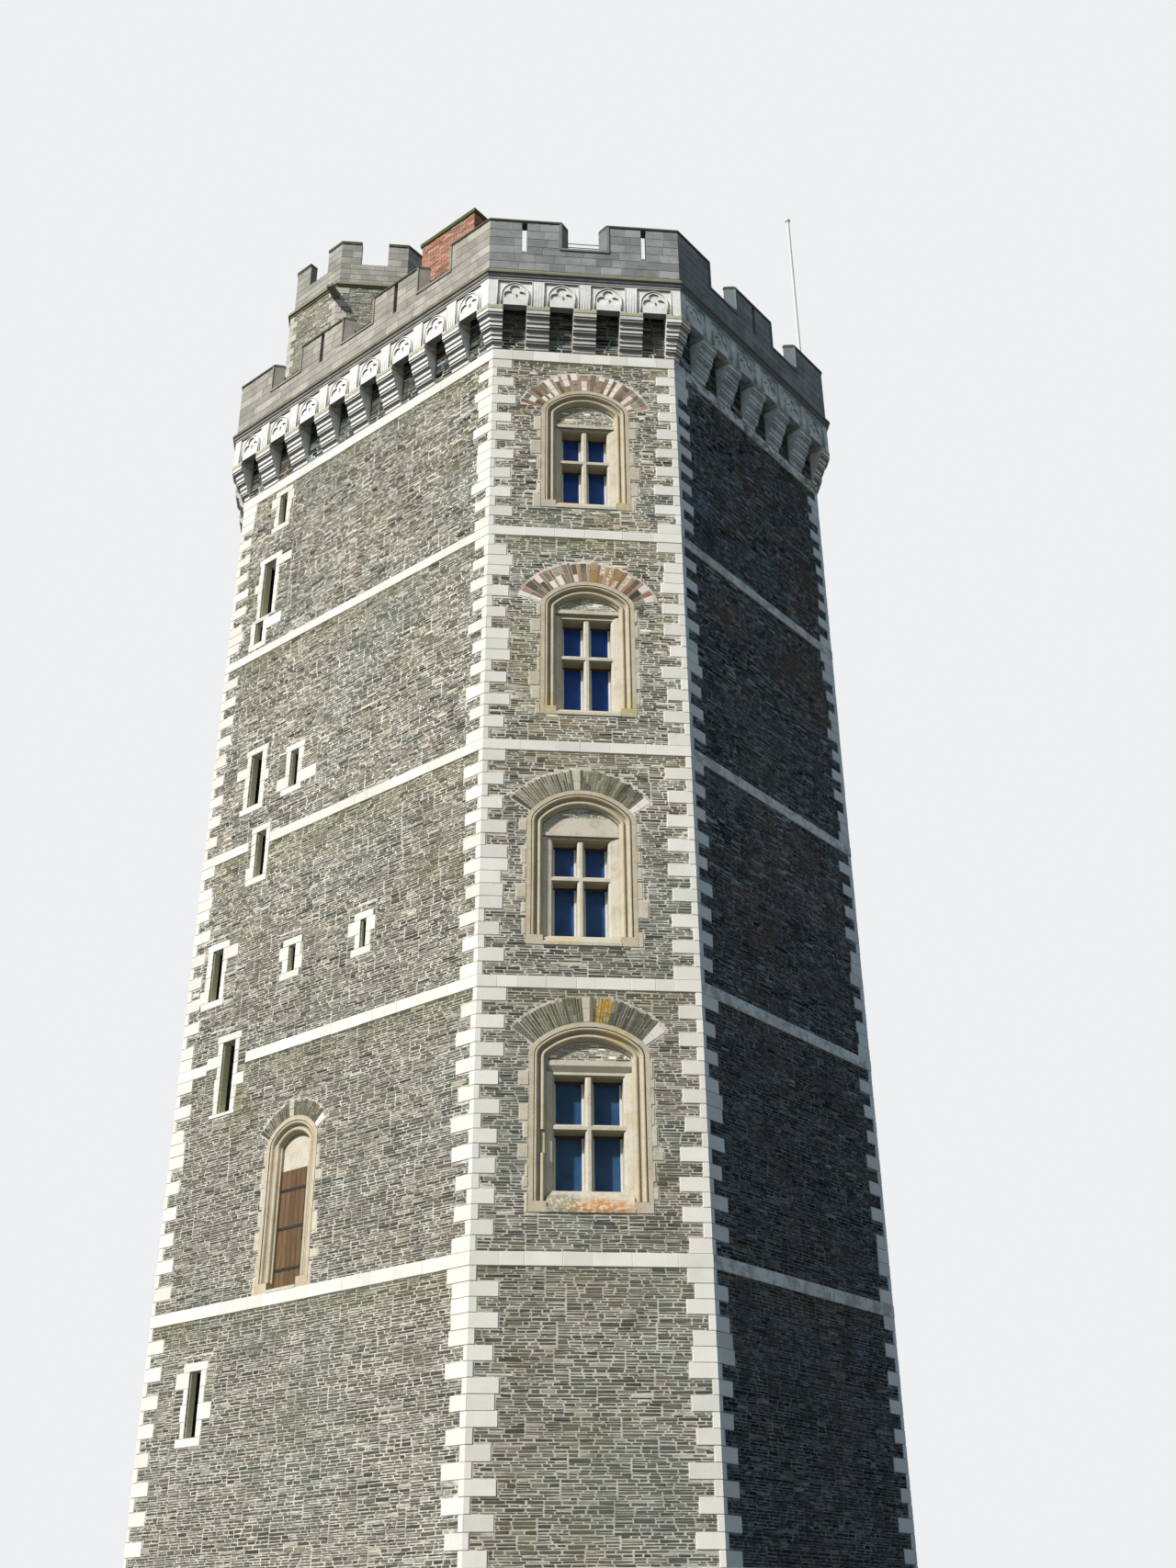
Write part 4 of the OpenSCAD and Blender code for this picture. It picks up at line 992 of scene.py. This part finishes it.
# Rubble of the eight walls. BACK is how deep a block's back lies behind the wall's face.
ROUGH_OUT, ROUGH_GAP, ROUGH_JITTER, BACK = (0.003, 0.014), (0.005, 0.013), 0.012, 0.012
ROUGH = (ROUGH_OUT, BACK, ROUGH_GAP, ROUGH_JITTER)
FILL_ROUGH = ((0.015, 0.022), -0.004, ROUGH_GAP, ROUGH_JITTER)
SEEN, BAY_STONE_H = (FRONT, RIGHT, LEFT), 0.13
SEEN_STONES, HIDDEN_STONES = (0.090, 0.44), (0.120, 0.50)
bay_pile = Pile()
for i, wall in enumerate(WALLS):
    rng = np.random.default_rng(100 + i)
    pile = Pile()
    spans = blocked_on(i)
    sizes = SEEN_STONES if i in SEEN else HIDDEN_STONES
    for s in range(5):
        z0, z1 = LEVELS[s] + TOUCH, band_under(s + 1) - TOUCH
        pile.rough(rng, wall, rubble(rng, 0.0, wall.length, z0, z1, spans, *sizes), *ROUGH)
    for rect in frame_fill.get(i, []):
        pile.rough(rng, wall, rubble(rng, *rect, nothing_blocked, *sizes, 0.02), *FILL_ROUGH)
    for n in range(BAYS[i]):
        x, step = bay_x(i, n)
        half = (step - CORBEL_W) / 2 - 0.006
        bay = (x - half, x + half, LEVELS[5] + 0.006, TERRACE - TOUCH)
        bay_pile.rough(rng, wall, rubble(rng, *bay, nothing_blocked, BAY_STONE_H), *ROUGH)
    look = "slate_shade" if i in SHADED else "slate_front" if i == FRONT else "slate"
    pile.build(f"{SIDES[i]}_rubble_stones", look, "slate_rubble")
# The stones in the bays behind the corbels take the painted-shade slate
bay_pile.build("machicolation_rubble_stones", "slate_shade", "slate_rubble")

# Dressed blocks of the walls
STRING_OUT, STRING_BACK, STRING_L, QUOIN_OUT = (0.020, 0.027), -0.010, (0.38, 0.92), (0.012, 0.020)
FINE_CUT, QUOIN_CUT = (0.003, 0.006), (0.005, 0.007)
rng = np.random.default_rng(21)
pile, shaded_pile = Pile(), Pile()
for i, wall in enumerate(WALLS):
    rects, turned = [r[:4] for r in quoins[i]], [r[4:] for r in quoins[i]]
    out = rng.uniform(*QUOIN_OUT, len(rects))
    here = shaded_pile if i in SHADED else pile
    here.dressed(rng, wall, rects, out, BACK, *QUOIN_CUT, mitre=turned)
pile.build("quoins", "white", "white_limestone")
shaded_pile.build("right_quoins", "white_shaded", "white_limestone")

pile, shaded_pile = Pile(), Pile()
for i, wall in enumerate(WALLS):
    for s in range(1, 6):
        z0, z1 = band_under(s), LEVELS[s]
        frames = [f[4:] for f in SLIT_FACES.get(i, [])]
        gaps = [(a, b) for a, b, low, high in frames if low < z1 - 0.01 and high > z0 + 0.01]
        for a, b in without(gaps, 0.0, wall.length):
            rects, turned = ashlar(rng, wall, a, b, z0, z1, *STRING_L)
            out = rng.uniform(*STRING_OUT, len(rects))
            here = shaded_pile if i in SHADED else pile
            here.dressed(rng, wall, rects, out, STRING_BACK, *FINE_CUT, mitre=turned)
pile.build("string_course_blocks", "white", "white_limestone")
shaded_pile.build("right_string_course_blocks", "string_mossy_shaded", "white_limestone")

for name, look, found, outs, back, cut in (
        ("window_side_blocks", "side_block", side_blocks, (0.008, 0.016), BACK, (0.005, 0.008)),
        ("slit_frame_blocks", "white", frame_blocks, STRING_OUT, -0.006, FINE_CUT)):
    pile = Pile()
    for i, rects in found.items():
        pile.dressed(rng, WALLS[i], rects, rng.uniform(*outs, len(rects)), back, *cut)
    pile.build(name, look, "white_limestone")

# Linings of the left slits, with painted light and shade: pale where the sun reaches, dark behind
LINING_T, LINING_END, LIT_SHARE = 0.012, 0.345, 0.47
pile, inner_pile = Pile(), Pile()
for left, right, low, high in (s[:4] for s in LEFT_SLITS):
    rows = np.linspace(low + TOUCH, high - TOUCH, max(2, round((high - low) / JAMB_H)) + 1)
    across, lit = (left - TOUCH, left + LINING_T), LIT_SHARE * (right - left)
    for a, b in zip(rows, rows[1:]):
        pile.bars(WALLS[LEFT], [(*across, 0.030, lit, a + 0.002, b - 0.002)])
        inner_pile.bars(WALLS[LEFT], [(*across, lit + TOUCH, LINING_END, a, b)], 0.1)
pile.build("slit_reveal_stones", "lining", "white_limestone")
inner_pile.build("slit_shade_stones", "slate_shade", "slate_rubble")


# Relieving arches over the windows: radial stones on the outer edge of the moulding
def radial_stone(win, u0, u1, d0, d1, out):
    """One stone between two rays of a window's arch, from d0 to d1 off the moulding."""
    (p0, p1), (q0, q1) = win.at([u0, u1])
    corners = [p0 + q0 * d0, p0 + q0 * d1, p1 + q1 * d1, p1 + q1 * d0]
    return np.array([[(win.x + a, y, b) for y in (BACK, -out) for a, b in corners]])


GAP, ARCH_OUT, RAGGED, SWAP_SHARE = 0.006, (0.004, 0.011), (0.0, 0.06), 0.35
KEYSTONE_W, SPRINGER_W, SLATE_W, UNEVEN, LEAST_REST = 0.13, 0.12, (0.040, 0.064), (0.85, 1.15), 0.04
MIXED = [("brick", 0.060), ("white", 0.112), ("brick", 0.060), ("slate", 0.105)]
KEY_AT = [0.52, 0.52, 0.53, 0.52]
SWAPPED = {"slate": "white", "white": "slate"}
SLATE_TONES, LICHEN_TONES, LICHEN_FROM, LICHEN_TO = (0.05, 0.72), (1.3, 1.45), 0.36, 0.46
arch_piles = {kind: Pile() for kind in ("white", "brick", "slate", "cream")}
rng = np.random.default_rng(31)
for i, found in WINDOW_FACES.items():
    for k, win in enumerate(found):
        end_at = win.reach[-1] - win.fan_from
        mixed = len(found) > 1 and k < 2
        lichened = len(found) > 1 and k == 3
        u, turn = win.fan_from, int(rng.integers(4))
        while u < end_at - 0.02:
            share = u / win.reach[-1]
            keyed = not mixed and share < KEY_AT[k] < (u + 0.08) / win.reach[-1]
            if mixed:
                kind, wide = MIXED[turn % 4]
                wide *= rng.uniform(*UNEVEN)
            else:
                kind, wide = "slate", rng.uniform(*SLATE_W)
            if keyed:
                kind, wide = "cream", KEYSTONE_W
            if u == win.fan_from and not mixed:
                kind, wide = "white", SPRINGER_W
            if end_at - u - wide < LEAST_REST:
                wide = end_at - u
            turn += 1
            length = win.fan - rng.uniform(*RAGGED)
            if mixed and k == 0:
                breaks = [0.0, rng.uniform(0.26, 0.40), rng.uniform(0.58, 0.74), 1.0]
            elif mixed or kind in ("white", "cream"):
                breaks = [0.0, rng.uniform(0.40, 0.60), 1.0]
            else:
                breaks = [0.0, 1.0] if rng.random() < 0.4 else [0.0, rng.uniform(0.3, 0.7), 1.0]
            for b0, b1 in zip(breaks, breaks[1:]):
                out = rng.uniform(*ARCH_OUT)
                reach = (GAP + length * b0 + GAP, length * b1)
                stone = radial_stone(win, u + GAP, u + wide - GAP, *reach, out)
                part = kind
                if mixed and kind in SWAPPED and rng.random() < SWAP_SHARE:
                    part = SWAPPED[kind]
                value = rng.uniform(*SLATE_TONES) if part == "slate" else rng.random()
                if lichened and part == "slate" and LICHEN_FROM < share < LICHEN_TO:
                    value = rng.uniform(*LICHEN_TONES)
                arch_piles[part].add(WALLS[i].place(stone), Pile.HEX, value)
            u += wide
arch_piles["white"].build("relieving_arch_white_stones", "white", "white_limestone")
arch_piles["cream"].build("relieving_arch_keystones", "side_block", "white_limestone")
arch_piles["brick"].build("relieving_arch_bricks", "brick", "orange_brick")
arch_piles["slate"].build("relieving_arch_slates", "slate_front", "slate_rubble")

# Tympana and casements
TYMPANUM_STONES = (0.075, 0.36, 0.04)
TYMPANUM_ROUGH = ((0.002, 0.010), 0.004, (0.005, 0.011), 0.008)
pile = Pile()
rng = np.random.default_rng(41)
for i in (FRONT, REAR):
    for win in WINDOW_FACES[i]:
        points = win.curve(-0.012)[0]
        right = points[points[:, 0] > 0]

        def outside(c, d, right=right, x=win.x):
            above = right[right[:, 1] >= d]
            half = above[:, 0].max() if len(above) else 0.0
            return [(x - 3.0, x - half), (x + half, x + 3.0)]

        field = (win.x - win.half, win.x + win.half,
                 win.glass_high + win.label + win.slab + TOUCH, win.spring + win.rise)
        stones = rubble(rng, *field, outside, *TYMPANUM_STONES)
        pile.rough(rng, WALLS[i], stones, *TYMPANUM_ROUGH, inset=REVEAL - 0.010)
pile.build("tympanum_stones", "slate_tympanum", "tympanum_slate")

STILE_W, CASEMENT_Y = 0.045, (0.505, 0.545)
pile = Pile()
for i in (FRONT, REAR):
    for win in WINDOW_FACES[i]:
        half, t = MULLION_W / 2, STILE_W
        wide = ((win.x - win.glass_half, win.x - half), (win.x + half, win.x + win.glass_half))
        tall = ((win.glass_low, win.transom - half), (win.transom + half, win.glass_high))
        for a, b in wide:
            for c, d in tall:
                a1, b1, c1, d1 = a + TOUCH, b - TOUCH, c + TOUCH, d - TOUCH
                pile.bars(WALLS[i], [
                    (a1, b1, *CASEMENT_Y, c1, c1 + t), (a1, a1 + t, *CASEMENT_Y, c1 + t, d1 - t),
                    (b1 - t, b1, *CASEMENT_Y, c1 + t, d1 - t)])
                # The top rail takes a tone of 1: painted shadow under the window head
                pile.bars(WALLS[i], [(a1, b1, *CASEMENT_Y, d1 - t, d1)], 1.0)
pile.build("window_casements", "casement", "pole_white")


# Crown: fine mouldings of the blind panels
def tube(pile, face, path, depth, radius):
    """A half-round roll along an open path of (x, z) on a face, standing out from depth."""
    path = np.asarray(path, float)
    n = len(path)
    ahead = np.roll(path, -1, 0) - path
    behind = path - np.roll(path, 1, 0)
    ahead[-1], behind[0] = behind[-1], ahead[0]
    tangent = unit(unit(ahead) + unit(behind))
    ring = [(-1.0, 0.2), (-0.7, -0.7), (0.0, -1.0), (0.7, -0.7), (1.0, 0.2)]
    points = np.zeros((n, 5, 3))
    for k, (a, b) in enumerate(ring):
        points[:, k, 0] = path[:, 0] + tangent[:, 1] * a * radius
        points[:, k, 2] = path[:, 1] - tangent[:, 0] * a * radius
        points[:, k, 1] = depth + b * radius
    turns = [(k, (k + 1) % 5) for k in range(5)]
    quads = [[j + k, j + after, j + 5 + after, j + 5 + k]
             for j in range(0, 5 * (n - 1), 5) for k, after in turns]
    first = pile.count
    pile.add(face.place(points).reshape(1, -1, 3), np.array(quads), 0.5)
    pile.faces.append([first + k for k in (4, 3, 2, 1, 0)])
    pile.faces.append([first + 5 * (n - 1) + k for k in range(5)])


TREFOIL_SPRING, TREFOIL_R, TREFOIL_OFF, TREFOIL_FOOT = 0.40, 0.40, 0.06, 0.06
TREFOIL_END = math.acos(-0.15)
PANEL_HALF, PANEL_LOW, PANEL_HIGH = 0.445, 0.03, 0.865
ROLL_Y, BEAD_Y = 0.010 - CROWN_OUT, 0.004 - CROWN_OUT
ROLL_R, FRAME_R, BEAD_R, BEAD_XS, BEAD_END = 0.022, 0.017, 0.009, (-0.07, 0.0, 0.07), 0.02
clean_pile, shaded_pile = Pile(), Pile()
for i, wall in enumerate(WALLS):
    pile = shaded_pile if i == RIGHT else clean_pile
    for n in range(BAYS[i]):
        x, step = bay_x(i, n)
        spring = ARCADE_Z + TREFOIL_SPRING
        left = [(x + TREFOIL_OFF + TREFOIL_R * math.cos(a), spring + TREFOIL_R * math.sin(a))
                for a in np.linspace(math.pi, TREFOIL_END, 12)]
        right = [(2 * x - p, q) for p, q in left[::-1]]
        reach, foot = TREFOIL_R - TREFOIL_OFF, ARCADE_Z + TREFOIL_FOOT
        path = [(x - reach, foot)] + left + right[1:] + [(x + reach, foot)]
        tube(pile, wall, path, ROLL_Y, ROLL_R)
        low, high = ARCADE_Z + PANEL_LOW, ARCADE_Z + PANEL_HIGH
        a, b = x - PANEL_HALF, x + PANEL_HALF
        tube(pile, wall, [(a, low), (a, high), (b, high), (b, low)], BEAD_Y, FRAME_R)
        low, high = ARCADE_Z + BEAD_END, CORNICE_Z - BEAD_END
        for dx in BEAD_XS if n < BAYS[i] - 1 else ():
            at = x + step / 2 + dx
            tube(pile, wall, [(at, low), (at, high)], BEAD_Y, BEAD_R)
clean_pile.build("panel_mouldings", "crown", "crown_limestone", smooth=True)
shaded_pile.build("right_panel_mouldings", "crown_stained_shaded", "crown_limestone", smooth=True)


# Parapet: ashlar blocks between the crenels
def crenel_xs(i):
    return [LENGTHS[i] / 2 + (n - (CRENELS[i] - 1) / 2) * CRENEL_STEP for n in range(CRENELS[i])]


def merlon_slits(i):
    edges = [-CROWN_OUT * HALF] + crenel_xs(i) + [LENGTHS[i] + CROWN_OUT * HALF]
    slits = []
    for n in range(CRENELS[i] + 1):
        if LENGTHS[i] < 5 or 0 < n < CRENELS[i]:
            shift = -CRENEL_HALF / 2 if n == 0 else CRENEL_HALF / 2 if n == CRENELS[i] else 0.0
            slits.append((edges[n] + edges[n + 1]) / 2 + shift)
    return slits


def rows_of(low, rows, sill, top):
    """The heights of the courses up to a sill, and of three more above it."""
    heights = np.concatenate([np.linspace(low, sill, rows + 1), np.linspace(sill, top, 4)[1:]])
    return list(zip(heights, heights[1:]))


SPLAY_H, CRENEL_LIP, SLIT_LOW, SLIT_HALF = 0.372, 0.075, 0.17, 0.066
ASHLAR_CUT, PARAPET_L, TURRET_L = (0.003, 0.005), (0.32, 0.60), (0.26, 0.46)
piles = {FRONT: Pile(), RIGHT: Pile(), None: Pile()}
rng = np.random.default_rng(51)
for i, wall in enumerate(WALLS):
    pile = piles.get(i, piles[None])
    y = 0.010 - CROWN_OUT
    openings = [(x - CRENEL_HALF, x + CRENEL_HALF) for x in crenel_xs(i)]
    slits = [(x - SLIT_HALF, x + SLIT_HALF) for x in merlon_slits(i)]
    for z0, z1 in rows_of(CORNICE_Z + SPLAY_H, 3, SILL_Z, PARAPET_TOP - COPING_H):
        below_sill = z1 <= SILL_Z + 0.001
        at_sill = below_sill and z1 > SILL_Z - 0.01
        spans = [] if below_sill else list(openings)
        spans += slits if z1 > SILL_Z - SLIT_LOW else []
        for a, b in without(spans, 0.0, wall.length):
            rects, turned = ashlar(rng, wall, a, b, z0, z1, *PARAPET_L)
            for k, (p, q, *_) in enumerate(rects):
                if at_sill and any(o[0] < q and o[1] > p for o in openings):
                    rects[k] = (p, q, z0, z1 - CRENEL_LIP)
            pile.dressed(rng, wall, rects, 0.007 - y, y + 0.01, *ASHLAR_CUT, mitre=turned)
piles[None].build("parapet_blocks", "parapet", "weathered_ashlar")
piles[FRONT].build("front_parapet_blocks", "parapet_front", "weathered_ashlar")
piles[RIGHT].build("right_parapet_blocks", "parapet_stained_shaded", "weathered_ashlar")


# Turret: rubble, quoins and parapet blocks
def turret_tones(rng, n):
    return 0.30 + 0.55 * tones(rng, n)


TURRET_COURSES, TURRET_SPLAY_H, TURRET_COPING_H, TURRET_CRENEL = 24, 0.222, 0.102, 0.415
TURRET_BACK, TURRET_ROUGH = 0.010, ((0.004, 0.013), 0.010, (0.004, 0.009), 0.007)
TURRET_QUOINS, TURRET_QUOIN_OUT, TURRET_STONES = (0.34, 0.16), (0.010, 0.016), (0.10, 0.34)
DOOR_FACE, DOOR_HALF, DOOR_H, DOOR_CLEAR, DOOR_JAMB_W = 2, 0.41, 2.0, 0.11, 0.12
DOOR_HEAD_HALF, DOOR_HEAD_H = 0.53, 0.26
rng = np.random.default_rng(61)
stones_pile, quoin_pile, ashlar_pile = Pile(), Pile(), Pile()
for k in range(8):
    face = turret_face(k, TURRET_AP + TURRET_WALL_OUT)
    middle, low, high = face.length / 2, TERRACE, TURRET_CORD
    step = (high - low) / TURRET_COURSES
    rects, turned = [], []
    for n in range(TURRET_COURSES):
        z0, z1 = low + n * step, low + (n + 1) * step
        a, b = TURRET_QUOINS if (n + k) % 2 else TURRET_QUOINS[::-1]
        rects.append((0.0, a + rng.uniform(-0.03, 0.05), z0, z1))
        rects.append((face.length - b + rng.uniform(-0.05, 0.03), face.length, z0, z1))
        turned += [(True, False), (False, True)]
    clear = DOOR_HALF + DOOR_CLEAR
    door = [(middle - clear, middle + clear)] if k == DOOR_FACE else []

    def spans(z0, z1, quoin_rects=np.array(rects), door=door):
        return hit_spans(quoin_rects, z0, z1) + (door if z0 < TERRACE + DOOR_H + 0.25 else [])

    stones = rubble(rng, 0.0, face.length, low, high, spans, *TURRET_STONES)
    stones_pile.rough(rng, face, stones, *TURRET_ROUGH, toning=turret_tones)
    out = rng.uniform(*TURRET_QUOIN_OUT, len(rects))
    quoin_pile.dressed(rng, face, rects, out, TURRET_BACK, mitre=turned)
    if k == DOOR_FACE:
        rows = np.linspace(TERRACE, TERRACE + DOOR_H, 8)
        sides = ((middle - DOOR_HALF - DOOR_JAMB_W, middle - DOOR_HALF),
                 (middle + DOOR_HALF, middle + DOOR_HALF + DOOR_JAMB_W))
        jambs = [(*side, a, b) for side in sides for a, b in zip(rows, rows[1:])]
        head = TERRACE + DOOR_H
        across = (middle - DOOR_HEAD_HALF, middle + DOOR_HEAD_HALF)
        jambs.append((*across, head + 0.005, head + DOOR_HEAD_H))
        quoin_pile.dressed(rng, face, jambs, 0.02, TURRET_BACK)
    face = turret_face(k, TURRET_AP)
    crenel = (face.length / 2 - TURRET_CRENEL, face.length / 2 + TURRET_CRENEL)
    top = TURRET_TOP - TURRET_COPING_H
    for z0, z1 in rows_of(TURRET_CORD + TURRET_SPLAY_H, 4, TURRET_SILL, top):
        for a, b in without([crenel] if z0 >= TURRET_SILL - 0.01 else [], 0.0, face.length):
            rects, turned = ashlar(rng, face, a, b, z0, z1, *TURRET_L)
            ashlar_pile.dressed(rng, face, rects, 0.006, TURRET_BACK, *ASHLAR_CUT, mitre=turned)
stones_pile.build("turret_rubble_stones", "turret_stone", "turret_rubble")
quoin_pile.build("turret_quoins", "turret_quoin", "weathered_ashlar")
ashlar_pile.build("turret_parapet_blocks", "turret_top", "weathered_ashlar")

# Chimney bricks
BRICK_L, BRICK_COURSES, CHIMNEY_COPING_H = 0.225, 55, 0.130
BRICK_ROUGH = ((0.004, 0.010), 0.006, (0.004, 0.006), 0.0025)
pile = Pile()
rng = np.random.default_rng(71)
step = (CHIMNEY_TOP - CHIMNEY_COPING_H - TERRACE) / BRICK_COURSES
for k, (a, b) in enumerate(((0, 0), (1, 0), (1, 1), (0, 1))):
    corner = WALLS[LEFT].place([CHIMNEY_X + a * CHIMNEY_L, CHIMNEY_Y + b * CHIMNEY_D, 0.0])
    face = Face(corner[:2], 45 * LEFT + 90 * k, CHIMNEY_D if k % 2 else CHIMNEY_L)
    for n in range(BRICK_COURSES):
        z0, z1 = TERRACE + n * step, TERRACE + (n + 1) * step
        head = BRICK_L / 2 if (n + k) % 2 else BRICK_L
        middles = np.arange(head + BRICK_L, face.length - 0.10, BRICK_L)
        cuts = [0.0, head, *middles, face.length]
        rects = np.array([(a, b, z0, z1) for a, b in zip(cuts, cuts[1:])])
        pile.rough(rng, face, rects, *BRICK_ROUGH, toning=any_tones)
pile.build("chimney_bricks", "brick", "orange_brick")

# Door boards and straps
BOARDS, STRAP_ZS, STRAP_H = 6, (6.05, 6.90, 7.70), 0.06
pile = Pile()
rng = np.random.default_rng(81)
door_foot, door_head, door_half = DOORWAY[1], DOORWAY[3], DOORWAY[6]
board_w = 2 * door_half / BOARDS
rects = [(DOOR_X - door_half + board_w * k, DOOR_X - door_half + board_w * (k + 1),
          door_foot + TOUCH, door_head - TOUCH) for k in range(BOARDS)]
pile.dressed(rng, WALLS[LEFT], rects, 0.012, 0.006, *ASHLAR_CUT, inset=REVEAL)
pile.build("door_boards", "door", "door_oak")
pile = Pile()
straps = [(DOOR_X - 0.43, DOOR_X + 0.36, REVEAL - 0.022, REVEAL - 0.006, z, z + STRAP_H)
          for z in STRAP_ZS]
straps.append((DOOR_X + 0.30, DOOR_X + 0.38, REVEAL - 0.030, REVEAL - 0.006, 6.62, 6.82))
pile.bars(WALLS[LEFT], straps)
pile.build("door_straps", "iron", "rail_iron")

# Terrace slabs: laid like a panel of rubble, those wholly inside the parapet kept
SLAB_REACH, SLAB_STONES, SLAB_MARGIN = 7.9, (0.75, 1.15, 0.1), 0.02
pile = Pile()
rng = np.random.default_rng(91)
planes = [(-wall.inward, float(wall.origin @ -wall.inward) - SLAB_MARGIN) for wall in WALLS]
square = (-SLAB_REACH, SLAB_REACH) * 2
laid = rubble(rng, *square, nothing_blocked, *SLAB_STONES)
slabs = [s for s in laid if all(np.dot(n, (x, y)) < dist for n, dist in planes
                                for x in s[:2] for y in s[2:])]
flat = dressed_blocks(slabs, 0.008, 0.02, 0.004, 0.004)[:, :, [0, 2, 1]]
flat[:, :, 2] = TERRACE - flat[:, :, 2]
pile.add(flat, Pile.CUT[:, ::-1], rng.random(len(slabs)))
pile.build("terrace_slabs", "flag", "flagstone")

# Flagpole finial
FINIAL_R, POLE_R = 0.085, 0.05
mesh = bpy.data.meshes.new("flagpole_finial")
bm = bmesh.new()
bmesh.ops.create_uvsphere(bm, u_segments=20, v_segments=12, radius=FINIAL_R)
low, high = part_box("flagpole")
top = Vector((low.x + POLE_R, (low.y + high.y) / 2, high.z - 0.01))
bmesh.ops.translate(bm, verts=bm.verts, vec=top)
bm.to_mesh(mesh)
bm.free()
mesh.shade_smooth()
finish_piece("flagpole_finial", mesh, "pole")

# Stage: a flat floor at the foot of the keep that falls away towards the camera
FLAT_R, FALL_R, FAR_R, FALL, AROUND, BELOW = 13.0, 30.0, 400.0, -2.3, 96, 0.002
radii = list(np.linspace(FLAT_R, FALL_R, 24)) + [60.0, 120.0, FAR_R]
turns = [2 * math.pi * k / AROUND for k in range(AROUND)]
verts = [(0.0, 0.0, -BELOW)]
for r in radii:
    t = min(1.0, (r - FLAT_R) / (FALL_R - FLAT_R))
    z = FALL * t * t * (3 - 2 * t) - BELOW
    verts += [(r * math.cos(a), r * math.sin(a), z) for a in turns]
pairs = [(k, (k + 1) % AROUND) for k in range(AROUND)]
faces = [(0, 1 + k, 1 + after) for k, after in pairs]
for j in range(len(radii) - 1):
    a, b = 1 + j * AROUND, 1 + (j + 1) * AROUND
    faces += [(a + k, b + k, b + after, a + after) for k, after in pairs]
mesh = bpy.data.meshes.new("floor")
mesh.from_pydata(verts, [], faces)
mesh.shade_smooth()
floor = add_object("floor", mesh)
s = Shader("floor_paper", 0.9)
path = s.add("LightPath").outputs
seen = s.math("MAXIMUM", path["Is Camera Ray"], path["Is Glossy Ray"])
mesh.materials.append(s.done(s.mix(seen, grey(0.15), (0.80, 0.80, 0.79))))
floor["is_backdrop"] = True

# Light and background
SUN_FROM = Vector((-0.621, -0.485, 0.616))
SUN_ENERGY, FILL = 3.95, 0.25
sun = bpy.data.lights.new("sun", "SUN")
sun.energy, sun.angle, sun.color = SUN_ENERGY, math.radians(2.5), (1.0, 0.975, 0.93)
add_object("sun", sun).rotation_euler = SUN_FROM.to_track_quat("Z", "Y").to_euler()

scene.world = bpy.data.worlds.new("studio")
sky = Tree(scene.world)
light = sky.add("Background", {"Color": (0.74, 0.88, 1.0, 1.0), "Strength": FILL})
paper = sky.add("Background", {"Color": (0.86, 0.87, 0.88, 1.0)})
path = sky.add("LightPath").outputs
seen = sky.math("MAXIMUM", path["Is Camera Ray"], path["Is Glossy Ray"])
seen = sky.math("MAXIMUM", seen, path["Is Transmission Ray"])
blend = sky.add("MixShader", {0: seen, 1: light.outputs[0], 2: paper.outputs[0]})
sky.add("OutputWorld", {"Surface": blend.outputs[0]})

# Camera: the photo's place, pitch and roll
CAMERA_AT = Vector((-2.007, -38.93, -1.339))
PITCH, ROLL = math.radians(28.513), math.radians(0.530)
HEADING = (0.0975, 0.9952)
ahead = Vector((HEADING[0] * math.cos(PITCH), HEADING[1] * math.cos(PITCH), math.sin(PITCH)))
right = Vector((HEADING[1], -HEADING[0], 0.0))
up = right.cross(ahead)
tilted_right = math.cos(ROLL) * right - math.sin(ROLL) * up
tilted_up = math.sin(ROLL) * right + math.cos(ROLL) * up
lens = bpy.data.cameras.new("camera")
lens.lens, lens.sensor_width, lens.clip_end = 37.70, 36.0, 1000.0
scene.camera = add_object("camera", lens)
turn = Matrix((tilted_right, tilted_up, -ahead)).transposed()
scene.camera.matrix_world = Matrix.Translation(CAMERA_AT) @ turn.to_4x4()
scene.view_settings.view_transform = "Standard"

low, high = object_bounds()
